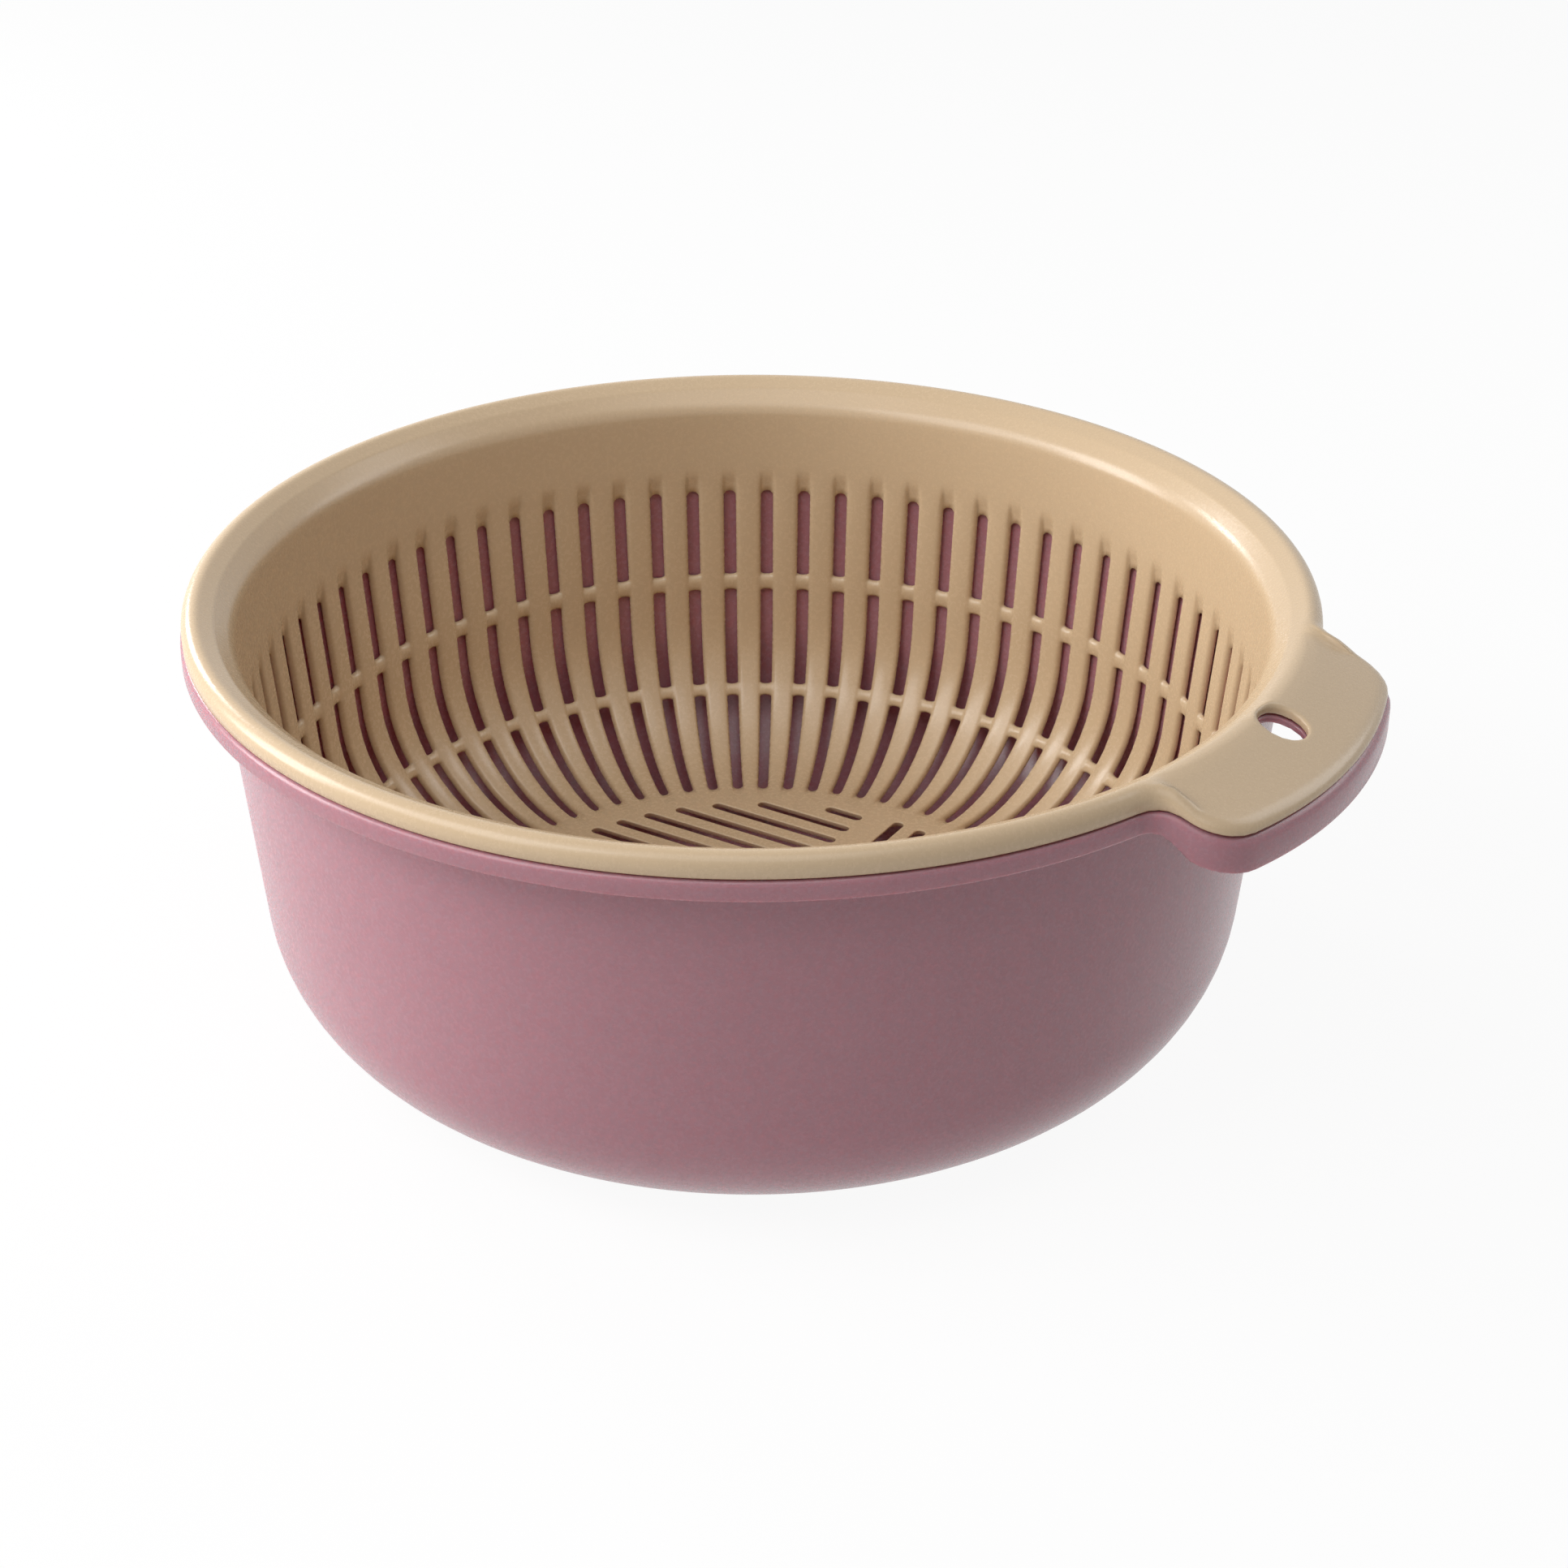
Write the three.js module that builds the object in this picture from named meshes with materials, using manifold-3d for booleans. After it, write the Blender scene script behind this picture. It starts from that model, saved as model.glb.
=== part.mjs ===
// Double-layer drain basket: a slotted basket that nests in a plain bowl, each with a grip tab.
// Millimetres, +Z up. The origin is the centre of the bowl's flat base, and +X runs out along the tabs.
import * as THREE from 'three';
import { mergeVertices } from 'three/addons/utils/BufferGeometryUtils.js';
import Module from 'manifold-3d';

const { degToRad } = THREE.MathUtils;

// Bowl: a smooth shell with a turned-out lip
const bowlHeight = 99; // flat base to the top face of the lip
const bowlMouthRadius = 118; // outside of the wall, at the lip's top face
const bowlWall = 1.6;
const bowlCornerRadius = 35; // outside, between wall and base
const wallDraftDegrees = 5.5; // both pieces lean out by this, so they come apart
const lipOverhang = 7.4; // lip's outer edge beyond the wall
const lipDepth = 4.4; // turned-down edge of the lip
const lipRounding = 1.2;

// Basket: a shell of one thickness, from its floor to its rolled rim
const basketWall = 2;
const basketCornerRadius = 37; // outside, between wall and floor
const nestClearance = 0.5; // between the two walls
const seatClearance = 0.3; // between the rim's lower edge and the lip
const drainSpace = 7.4; // between the two floors
const rimSetback = 0.4; // rim's outer edge inside the lip's
const rimHeight = 4.8; // rolled rim, crest to lower edge
const rimRounding = 4; // outside of the roll
const rimInnerRounding = 6; // from the crest into the inner face

// Wall slots and the two hoops that cross them
const slotCount = 74;
const slotWidth = 2.9;
const slotPhaseDegrees = -1.7; // first slot, from the tabs' axis
const slotTopDepth = 28; // this and the hoops' depths run down the wall from the rim's crest
const slotFoot = 1; // slots stop this far short of the flat floor
const grooveRun = 5.5; // groove that fades out above each slot
const grooveDepth = 0.9;
const upperHoopDepth = 50.8;
const upperHoopHeight = 4;
const lowerHoopDepth = 80.7;
const lowerHoopHeight = 3;
const hoopRecess = 0.8; // hoops lie behind the bars' inner faces

// Floor slots: four fields of parallel slots, each turned a quarter from the last
const floorRing = 8.8; // plain ring between the wall slots and the fields
const floorSlotPitch = 6.6;
const floorSlotWidth = 2.4;
const floorSlotFirst = 2.8; // first slot's middle line, from the axis
const floorHubHalf = 6.6; // slots' inner ends, from the axis
const floorSlotLeast = 6; // shorter slots are left out

// Grip tabs: the basket's lies on the bowl's, and one hole hangs both
const tabReach = 16.6; // beyond the rim
const tabHalfWidth = 42;
const tabEdgeRadius = 112; // curve of the outer edge
const tabCornerRadius = 11;
const tabRootRadius = 5;
const tabRunoutDegrees = 6; // along the rim, where the tab fades into it
const tabSlope = 0.33; // fall for each millimetre outwards
const tabThickness = 2.2;
const tabGap = 0.4; // between the two tabs
const tabRelief = 0.6; // room for the bowl's tab beside the cut rim
const bowlTabProud = 0.8; // bowl's tab beyond the basket's, all round
const bowlTabSkirt = 7.2; // turned-down edge of the bowl's tab
const holeRadius = 5.2;
const holeOffset = 1.5; // hole's centre beyond the rim

// Facets
const cornerSteps = 5;
const roundSteps = 3;
const hollowSteps = 2;
const planSegments = 3;
const slotEndSegments = 1;
const holeSegments = 20;
const cutMargin = 2; // cutters run past what they cut by this

// Values that follow from the sizes above
const draft = degToRad(wallDraftDegrees);
const slotPitch = (2 * Math.PI) / slotCount;
const slotPhase = degToRad(slotPhaseDegrees);
const lipRadius = bowlMouthRadius + lipOverhang;
const rimRadius = lipRadius - rimSetback;
const rimLow = bowlHeight + seatClearance;
const crest = rimLow + rimHeight;
const basketBase = bowlWall + drainSpace;
const basketFloor = basketBase + basketWall;
const farRadius = rimRadius + tabReach + bowlTabProud + cutMargin;

const wasm = await Module();
wasm.setup();

const point = (radius, height) => new THREE.Vector2(radius, height);
const polar = (centre, radius, angle) =>
  point(centre.x + radius * Math.cos(angle), centre.y + radius * Math.sin(angle));

// Points on an arc, both ends included.
function arc(centre, radius, from, to, steps) {
  const at = (step) => polar(centre, radius, from + ((to - from) * step) / steps);
  return Array.from({ length: steps + 1 }, (_, step) => at(step));
}

// Wall faces, each a radius at a height. The basket's follow the bowl's at the nesting clearance.
const bowlOutside = (z) => bowlMouthRadius - (bowlHeight - z) * Math.tan(draft);
const bowlInside = (z) => bowlOutside(z) - bowlWall / Math.cos(draft);
const basketOutside = (z) => bowlInside(z) - nestClearance;
const basketInside = (z) => basketOutside(z) - basketWall / Math.cos(draft);

// Centre of the arc that joins a leaning wall to a level base.
function cornerCentre(wallFace, base, radius) {
  const height = base + radius;
  const touch = height - radius * Math.sin(draft);
  return point(wallFace(touch) - radius * Math.cos(draft), height);
}
const bowlCorner = cornerCentre(bowlOutside, 0, bowlCornerRadius);
const basketCorner = cornerCentre(basketOutside, basketBase, basketCornerRadius);
const rimInnerLow = crest - rimInnerRounding;
const rimInner = point(basketInside(rimInnerLow) + rimInnerRounding, rimInnerLow);
const rimOuter = point(rimRadius - rimRounding, crest - rimRounding);

// A closed geometry as a solid that can be joined and cut.
function solid(geometry) {
  geometry.deleteAttribute('normal');
  geometry.deleteAttribute('uv');
  const merged = mergeVertices(geometry);
  const corners = merged.index.array;
  const triangles = [];
  for (let i = 0; i < corners.length; i += 3) {
    const [a, b, c] = corners.slice(i, i + 3);
    if (a !== b && b !== c && c !== a) {
      triangles.push(a, b, c);
    }
  }
  const vertProperties = merged.attributes.position.array;
  return new wasm.Manifold(
    new wasm.Mesh({ numProp: 3, vertProperties, triVerts: new Uint32Array(triangles) }),
  );
}

// A closed profile of radius and height, turned about Z. Facets are centred on the slots.
function revolve(profile) {
  const start = slotPhase + slotPitch / 2 + Math.PI / 2;
  const geometry = new THREE.LatheGeometry(profile, slotCount, start);
  geometry.rotateX(Math.PI / 2);
  return solid(geometry);
}

const ring = (profile) => revolve([...profile, profile[0]]);

// A plan outline, raised between two heights.
function prism(plan, low, high, curveSegments) {
  const settings = { depth: high - low, bevelEnabled: false, curveSegments };
  const geometry = new THREE.ExtrudeGeometry(plan, settings);
  geometry.translate(0, 0, low);
  return solid(geometry);
}

// Bowl without its tab: base, corner, wall and lip outside, then back down the inside.
function bowlShell() {
  const lipLow = bowlHeight - lipDepth;
  const lipUnder = bowlHeight - bowlWall;
  const lipCentre = point(lipRadius - lipRounding, bowlHeight - lipRounding);
  return revolve([
    point(0, 0),
    ...arc(bowlCorner, bowlCornerRadius, -Math.PI / 2, -draft, cornerSteps),
    point(bowlOutside(lipUnder), lipUnder),
    point(lipRadius - bowlWall, lipUnder),
    point(lipRadius - bowlWall, lipLow),
    point(lipRadius, lipLow),
    ...arc(lipCentre, lipRounding, 0, Math.PI / 2, roundSteps),
    point(bowlInside(bowlHeight), bowlHeight),
    ...arc(bowlCorner, bowlCornerRadius - bowlWall, -draft, -Math.PI / 2, cornerSteps),
    point(0, bowlWall),
  ]);
}

// Basket's wall: a point at a depth down its outer face, past the corner's arc, at an inset from it.
const straightDepth = (crest - basketCorner.y) / Math.cos(draft) + basketCornerRadius * Math.tan(draft);
function onWall(depth, inset) {
  if (depth > straightDepth) {
    const angle = -draft - (depth - straightDepth) / basketCornerRadius;
    return polar(basketCorner, basketCornerRadius - inset, angle);
  }
  const height = crest - depth * Math.cos(draft);
  const inward = point(-inset * Math.cos(draft), inset * Math.sin(draft));
  return point(basketOutside(height), height).add(inward);
}

// Basket in section. Down the inner face, round the slot's foot and up the outer face, with a step
// in and out at each hoop, is the outline of a slot's side.
const hoops = [
  { top: upperHoopDepth, low: upperHoopDepth + upperHoopHeight },
  { top: lowerHoopDepth, low: lowerHoopDepth + lowerHoopHeight },
];
const hoopInset = basketWall - hoopRecess;
const footRadius = basketCorner.x + slotFoot;
const floorFieldRadius = footRadius - floorRing;
const footDepth = straightDepth + basketCornerRadius * (Math.acos(slotFoot / basketCornerRadius) - draft);
const bendDepths = Array.from(
  { length: cornerSteps },
  (_, step) => straightDepth + ((footDepth - straightDepth) * step) / cornerSteps,
);
const innerFace = [
  onWall(slotTopDepth - grooveRun, basketWall),
  ...bendDepths.map((depth) => onWall(depth, basketWall)),
  point(footRadius, basketFloor),
];
const clearOfHoops = (depth) => hoops.every((hoop) => depth < hoop.top || depth > hoop.low);
const outerDepths = [
  slotTopDepth,
  ...hoops.flatMap((hoop) => [hoop.top, hoop.low]),
  ...bendDepths.filter(clearOfHoops),
].sort((a, b) => b - a);
const outerFace = new Map(outerDepths.map((depth) => [depth, onWall(depth, 0)]));
const outerFoot = point(footRadius, basketBase);
const grooveEnd = onWall(slotTopDepth, basketWall - grooveDepth);
const hoopSections = hoops.map((hoop) => [
  onWall(hoop.top, hoopInset),
  onWall(hoop.low, hoopInset),
  outerFace.get(hoop.low),
  outerFace.get(hoop.top),
]);
const slotOutline = [...innerFace, outerFoot];
for (const [depth, corner] of outerFace) {
  const hoop = hoops.findIndex(({ low }) => low === depth);
  const stepIn = hoop < 0 ? [] : [hoopSections[hoop][1], hoopSections[hoop][0]];
  slotOutline.push(corner, ...stepIn);
}
slotOutline.push(grooveEnd);

// Rim in section, from the outer face over its hollow and its crest to the inner face.
const rimLine = [
  ...arc(rimInner, rimInnerRounding - basketWall, Math.PI, Math.PI / 2, roundSteps),
  ...arc(rimOuter, rimRounding - basketWall, Math.PI / 2, 0, hollowSteps),
  point(rimRadius - basketWall, rimLow),
  point(rimRadius, rimLow),
  ...arc(rimOuter, rimRounding, 0, Math.PI / 2, roundSteps),
  ...arc(rimInner, rimInnerRounding, Math.PI / 2, Math.PI, roundSteps),
];
const floorCentre = [point(0, basketBase), point(0, basketFloor)];

// A section point in place: on one side of a slot, or on the middle of the bar that follows it.
const upAxis = new THREE.Vector3(0, 0, 1);
const slotAngle = (slot) => slotPhase + ((slot + slotCount) % slotCount) * slotPitch;
function onSlotSide(p, slot, side) {
  const half = slotWidth / 2;
  const place = new THREE.Vector3(Math.sqrt(p.x ** 2 - half ** 2), side * half, p.y);
  return place.applyAxisAngle(upAxis, slotAngle(slot));
}
function onBar(p, slot) {
  const angle = slotAngle(slot) + slotPitch / 2;
  return new THREE.Vector3(p.x * Math.cos(angle), p.x * Math.sin(angle), p.y);
}

// Two ends of a section point's edge across a slot, and across the bar that follows it. Rim and
// centre have one point to a bar, and the slotted wall has one to each side of a slot.
const plainPoints = new Set([...rimLine, ...floorCentre]);
const acrossSlot = (p, slot) =>
  plainPoints.has(p)
    ? [onBar(p, slot - 1), onBar(p, slot)]
    : [onSlotSide(p, slot, -1), onSlotSide(p, slot, 1)];
const acrossBar = (p, slot) =>
  plainPoints.has(p)
    ? [onBar(p, slot), onBar(p, slot)]
    : [onSlotSide(p, slot, 1), onSlotSide(p, slot + 1, -1)];

// Basket without tab or floor slots, closed face by face: bars, then what a slot leaves of the wall
// (rim, hoops and floor), then the slot's two sides.
function basketShell() {
  const faces = [];
  const band = (section, across, slot) => {
    for (let i = 1; i < section.length; i += 1) {
      const [a, b] = across(section[i - 1], slot);
      const [d, c] = across(section[i], slot);
      faces.push(a, b, c, a, c, d);
    }
  };
  const [centreLow, centreHigh] = floorCentre;
  const upward = [...outerFace.values()];
  const slotHead = upward.at(-1);
  const barSection = [centreLow, outerFoot, ...upward, ...rimLine, ...innerFace, centreHigh];
  const headSection = [slotHead, ...rimLine, innerFace[0], grooveEnd, slotHead];
  const footSection = [centreLow, outerFoot, innerFace.at(-1), centreHigh];
  const sideTriangles = THREE.ShapeUtils.triangulateShape(slotOutline, []);
  for (let slot = 0; slot < slotCount; slot += 1) {
    band(barSection, acrossBar, slot);
    band(headSection, acrossSlot, slot);
    band(footSection, acrossSlot, slot);
    for (const hoop of hoopSections) {
      band([...hoop, hoop[0]], acrossSlot, slot);
    }
    for (const corners of sideTriangles) {
      const [a, b, c] = corners.map((corner) => slotOutline[corner]);
      faces.push(...[a, b, c].map((p) => onSlotSide(p, slot, 1)));
      faces.push(...[a, c, b].map((p) => onSlotSide(p, slot, -1)));
    }
  }
  return solid(new THREE.BufferGeometry().setFromPoints(faces));
}

// A straight slot with round ends, from one point to another along X.
function floorSlot(from, to, y) {
  const half = floorSlotWidth / 2;
  const outline = new THREE.Shape();
  outline.absarc(to - half, y, half, -Math.PI / 2, Math.PI / 2);
  outline.absarc(from + half, y, half, Math.PI / 2, (3 * Math.PI) / 2);
  return outline;
}

// Floor slots, as a pinwheel of four fields inside one circle.
function floorSlots() {
  const outlines = [];
  for (let y = floorSlotFirst; y < floorFieldRadius; y += floorSlotPitch) {
    const edge = y + floorSlotWidth / 2;
    const length = Math.sqrt(Math.max(0, floorFieldRadius ** 2 - edge ** 2));
    if (length - floorHubHalf > floorSlotLeast) {
      outlines.push(floorSlot(-length, -floorHubHalf, y));
    }
  }
  const depth = basketWall + 2 * cutMargin;
  const settings = { depth, bevelEnabled: false, curveSegments: slotEndSegments };
  const fields = [0, 1, 2, 3].map((quarter) => {
    const geometry = new THREE.ExtrudeGeometry(outlines, settings);
    geometry.translate(0, 0, basketBase - cutMargin);
    return geometry.rotateZ((-quarter * Math.PI) / 2);
  });
  return fields.map(solid);
}

// Plan of the tabs, grown all round by an offset: concave roots on the rim's circle, straight sides,
// round corners and a curved outer edge. It runs back to the axis, and the turned section that it is
// cut from sets the inner edge.
function tabPlan(grow) {
  const root = tabRootRadius - grow;
  const corner = tabCornerRadius + grow;
  const side = tabHalfWidth + grow;
  const edge = tabEdgeRadius + grow;
  const edgeX = rimRadius + tabReach - tabEdgeRadius;
  const rootY = side + root;
  const rootX = Math.sqrt((rimRadius + tabRootRadius) ** 2 - rootY ** 2);
  const rootAngle = Math.atan2(rootY, rootX);
  const cornerY = side - corner;
  const cornerX = edgeX + Math.sqrt((edge - corner) ** 2 - cornerY ** 2);
  const cornerAngle = Math.atan2(cornerY, cornerX - edgeX);
  const runout = polar(point(0, 0), rimOuter.x + grow, rootAngle + degToRad(tabRunoutDegrees));
  const plan = new THREE.Shape();
  plan.moveTo(0, -runout.y);
  plan.lineTo(runout.x, -runout.y);
  plan.absarc(rootX, -rootY, root, Math.PI - rootAngle, Math.PI / 2, true);
  plan.absarc(cornerX, -cornerY, corner, -Math.PI / 2, -cornerAngle);
  plan.absarc(edgeX, 0, edge, -cornerAngle, cornerAngle);
  plan.absarc(cornerX, cornerY, corner, cornerAngle, Math.PI / 2);
  plan.absarc(rootX, rootY, root, -Math.PI / 2, rootAngle - Math.PI, true);
  plan.lineTo(runout.x, runout.y);
  plan.lineTo(0, runout.y);
  return plan;
}

// A turned section, trimmed to the tabs' plan.
const tabBody = (section, grow) =>
  ring(section).intersect(prism(tabPlan(grow), 0, crest + cutMargin, planSegments));

const basketTabTop = (radius) => crest - tabSlope * (radius - rimOuter.x);
const bowlTabTop = (radius) => basketTabTop(radius) - tabThickness - tabGap;

// Basket's tab: a plate that leaves the rim's crest and falls gently outwards.
function basketTab() {
  const bite = point(rimOuter.x - basketWall / 2, crest - basketWall / 2);
  return tabBody(
    [
      bite,
      point(rimOuter.x, crest - tabThickness),
      point(farRadius, basketTabTop(farRadius) - tabThickness),
      point(farRadius, basketTabTop(farRadius)),
      point(rimOuter.x, crest),
    ],
    0,
  );
}

// Stretch of the basket's rim that is cut away, so that the bowl's tab lies under the plate.
function rimRelief() {
  const outer = rimRadius + cutMargin;
  return tabBody(
    [
      point(rimOuter.x, rimLow - cutMargin),
      point(outer, rimLow - cutMargin),
      point(outer, basketTabTop(outer) - tabThickness / 2),
      point(rimOuter.x, crest - tabThickness / 2),
    ],
    bowlTabProud + tabRelief,
  );
}

// Bowl's tab, solid: it ramps up from the wall's top edge, then runs out under the basket's tab.
const tabRiser = bowlMouthRadius + bowlWall;
const lipMiddle = bowlHeight - bowlWall / 2;
function bowlTab() {
  const inner = bowlMouthRadius - bowlWall / 2;
  return tabBody(
    [
      point(inner, lipMiddle),
      point(tabRiser, lipMiddle),
      point(tabRiser, bowlTabTop(tabRiser) - bowlTabSkirt),
      point(farRadius, bowlTabTop(farRadius) - bowlTabSkirt),
      point(farRadius, bowlTabTop(farRadius)),
      point(rimOuter.x, bowlTabTop(rimOuter.x)),
      point(inner, bowlHeight),
    ],
    bowlTabProud,
  );
}

// Hollow under the bowl's tab, open below, which leaves a plate and a turned-down edge.
function bowlTabHollow() {
  const low = bowlTabTop(farRadius) - bowlTabSkirt - lipDepth;
  return tabBody(
    [
      point(tabRiser, low),
      point(farRadius, low),
      point(farRadius, bowlTabTop(farRadius) - bowlWall),
      point(rimOuter.x, bowlTabTop(rimOuter.x) - bowlWall),
      point(tabRiser, lipMiddle),
    ],
    bowlTabProud - bowlWall,
  );
}

// Hang hole through both tabs.
function hangHole() {
  const geometry = new THREE.CylinderGeometry(holeRadius, holeRadius, crest, holeSegments);
  geometry.rotateX(Math.PI / 2);
  geometry.translate(rimRadius + holeOffset, 0, crest / 2 + cutMargin);
  return solid(geometry);
}

function makeBowl() {
  return bowlShell().add(bowlTab()).subtract(bowlTabHollow()).subtract(hangHole());
}

function makeBasket() {
  const body = basketShell().subtract(rimRelief()).add(basketTab()).subtract(hangHole());
  return floorSlots().reduce((basket, field) => basket.subtract(field), body);
}

// A solid as a named mesh.
function piece(name, shape, look) {
  const { vertProperties, triVerts } = shape.getMesh();
  const geometry = new THREE.BufferGeometry();
  geometry.setAttribute('position', new THREE.BufferAttribute(new Float32Array(vertProperties), 3));
  geometry.setIndex(new THREE.BufferAttribute(new Uint32Array(triVerts), 1));
  geometry.computeVertexNormals();
  const mesh = new THREE.Mesh(geometry, new THREE.MeshStandardMaterial(look));
  mesh.name = name;
  return mesh;
}

const mauvePlastic = { color: 0xa77f8a, roughness: 0.42, metalness: 0 };
const beigePlastic = { color: 0xcbb592, roughness: 0.4, metalness: 0 };

const drainBasketSet = new THREE.Group();
drainBasketSet.add(piece('bowl', makeBowl(), mauvePlastic));
drainBasketSet.add(piece('drain_basket', makeBasket(), beigePlastic));

export default drainBasketSet;
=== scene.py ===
"""Looks of a double-layer drain basket: a slotted beige basket nested in a smooth mauve bowl.

Each of the two mouldings is one closed mesh, worked out with numpy in millimetres in the frame of
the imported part: +Z up, the origin on the flat base, and +X out along the grip tabs.
"""

import logging
import math
from dataclasses import dataclass, field
from enum import Enum, IntEnum

import bmesh
import bpy
import numpy as np
from mathutils import Matrix, Vector
from mathutils.geometry import delaunay_2d_cdt


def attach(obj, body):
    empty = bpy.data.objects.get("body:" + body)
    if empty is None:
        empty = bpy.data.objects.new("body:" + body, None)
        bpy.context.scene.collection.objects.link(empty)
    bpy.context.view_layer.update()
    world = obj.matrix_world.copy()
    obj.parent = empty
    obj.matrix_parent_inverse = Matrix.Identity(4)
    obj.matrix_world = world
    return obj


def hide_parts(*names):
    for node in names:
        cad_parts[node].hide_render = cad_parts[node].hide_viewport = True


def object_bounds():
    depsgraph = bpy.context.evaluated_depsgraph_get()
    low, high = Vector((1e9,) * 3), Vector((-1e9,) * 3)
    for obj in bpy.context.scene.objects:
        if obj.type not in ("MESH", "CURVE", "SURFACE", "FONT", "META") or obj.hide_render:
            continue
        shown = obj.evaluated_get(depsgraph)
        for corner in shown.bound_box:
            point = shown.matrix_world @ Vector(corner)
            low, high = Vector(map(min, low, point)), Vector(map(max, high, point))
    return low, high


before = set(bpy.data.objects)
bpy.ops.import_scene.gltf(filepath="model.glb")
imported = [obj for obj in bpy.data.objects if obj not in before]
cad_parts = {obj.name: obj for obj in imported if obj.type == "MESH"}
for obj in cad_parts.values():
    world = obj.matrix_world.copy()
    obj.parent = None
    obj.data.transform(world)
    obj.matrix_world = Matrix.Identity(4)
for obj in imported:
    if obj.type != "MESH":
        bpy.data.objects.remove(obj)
cad_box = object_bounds()

MM = 0.001  # metres in a millimetre
WELD = 1e-6  # metres, below which two points are one
INSIDE_OUTLINES = 1  # kind of triangulation that keeps the faces within the outlines
CLOSE = 1e-6  # millimetres, below which two flat points are one
ROW_DECIMALS = 4  # of a millimetre, to which rows that agree are one row
WHITE = (1.0, 1.0, 1.0, 1.0)

log = logging.getLogger("drain_basket")


class Body(Enum):
    """The two bodies that the set comes apart into."""

    BOWL = "bowl"
    BASKET = "basket"


class Node(Enum):
    """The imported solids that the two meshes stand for."""

    BOWL = "bowl"
    BASKET = "drain_basket"


class Slot(Enum):
    """The record's material slots."""

    BOWL = "bowl_plastic"
    BASKET = "basket_plastic"


class Column(IntEnum):
    """Columns of the slotted sheet in one pitch, from the middle of a bar on."""

    BAR = 0
    BEVEL_START = 1
    SLOT_START = 4
    SLOT_MIDDLE = 6
    SLOT_END = 8
    BEVEL_END = 11


def linear(hex_colour: str) -> tuple[float, float, float, float]:
    """Turns an sRGB hex colour to linear light, by sRGB's straight foot and its power of 2.4.

    Args:
        hex_colour: Six hex digits after a hash.

    Returns:
        Linear red, green and blue, and an alpha of one.
    """
    srgb = np.array([int(hex_colour[k : k + 2], 16) for k in (1, 3, 5)]) / 255
    light = np.where(srgb <= 0.04045, srgb / 12.92, ((srgb + 0.055) / 1.055) ** 2.4)
    return (*light.tolist(), 1.0)


def add_node(tree: bpy.types.NodeTree, kind: str, settings: dict, inputs: dict) -> bpy.types.Node:
    """Adds a node with its settings, and fills its sockets with values or links.

    Args:
        tree: Node tree that takes the node.
        kind: Blender's name of the node type.
        settings: Attribute values.
        inputs: Socket names or numbers, each with a value or with the output socket that feeds it.

    Returns:
        The new node.
    """
    node = tree.nodes.new(kind)
    for name, value in settings.items():
        setattr(node, name, value)
    for name, value in inputs.items():
        if isinstance(value, bpy.types.NodeSocket):
            tree.links.new(value, node.inputs[name])
        else:
            node.inputs[name].default_value = value
    return node


def ease(value: np.ndarray, low: float, high: float) -> np.ndarray:
    """Smooth step: 0 up to low, 1 from high on, and 3s^2 - 2s^3 of the share s between them."""
    share = np.clip((value - low) / (high - low), 0, 1)
    return share * share * (3 - 2 * share)


def fillet(distance: np.ndarray, radius: float) -> np.ndarray:
    """Fall of a rounded edge: a quarter circle's height lost at a distance from the edge."""
    share = 1 - np.clip(distance / radius, 0, 1)
    return radius * (1 - np.sqrt(1 - share * share))


def run_off(distance: np.ndarray | float, slope: float, bend: float) -> np.ndarray:
    """Fall at a distance past a crest: a parabola over the bend, then straight at the slope.

    Args:
        distance: Distance past the crest.
        slope: Fall per distance, once the bend is past.
        bend: Distance over which the slope builds up.

    Returns:
        The fall, which is 0 before the crest.
    """
    past = np.maximum(distance, 0)
    curved = np.minimum(past, bend)
    return slope * (past - curved + curved**2 / (2 * bend))


def arc(
    centre: tuple[float, float], radii: tuple[float, float], turn: tuple[float, float], steps: int
) -> np.ndarray:
    """Points on an ellipse's arc: its centre plus each radius times the cosine and sine of the turn.

    Args:
        centre: Middle of the ellipse.
        radii: Half widths along the two axes.
        turn: First and last angle, in degrees.
        steps: Number of stretches between points.

    Returns:
        Array of steps + 1 points.
    """
    angle = np.radians(np.linspace(*turn, steps + 1))
    return np.column_stack((centre[0] + radii[0] * np.cos(angle), centre[1] + radii[1] * np.sin(angle)))


def grid_quads(rows: int, columns: int) -> np.ndarray:
    """Corner numbers of a grid that closes on itself around its columns.

    Each quad runs from a point to the next column, down a row and back, so its front is the side
    from which the columns run to the right as the rows run down.

    Args:
        rows: Rows of points.
        columns: Points in a row.

    Returns:
        Array of rows - 1 by columns by 4 point numbers.
    """
    row, column = np.meshgrid(np.arange(rows - 1), np.arange(columns), indexing="ij")
    right = (column + 1) % columns
    below = (row + 1) * columns
    return np.stack((row * columns + column, row * columns + right, below + right, below + column), axis=-1)


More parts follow.
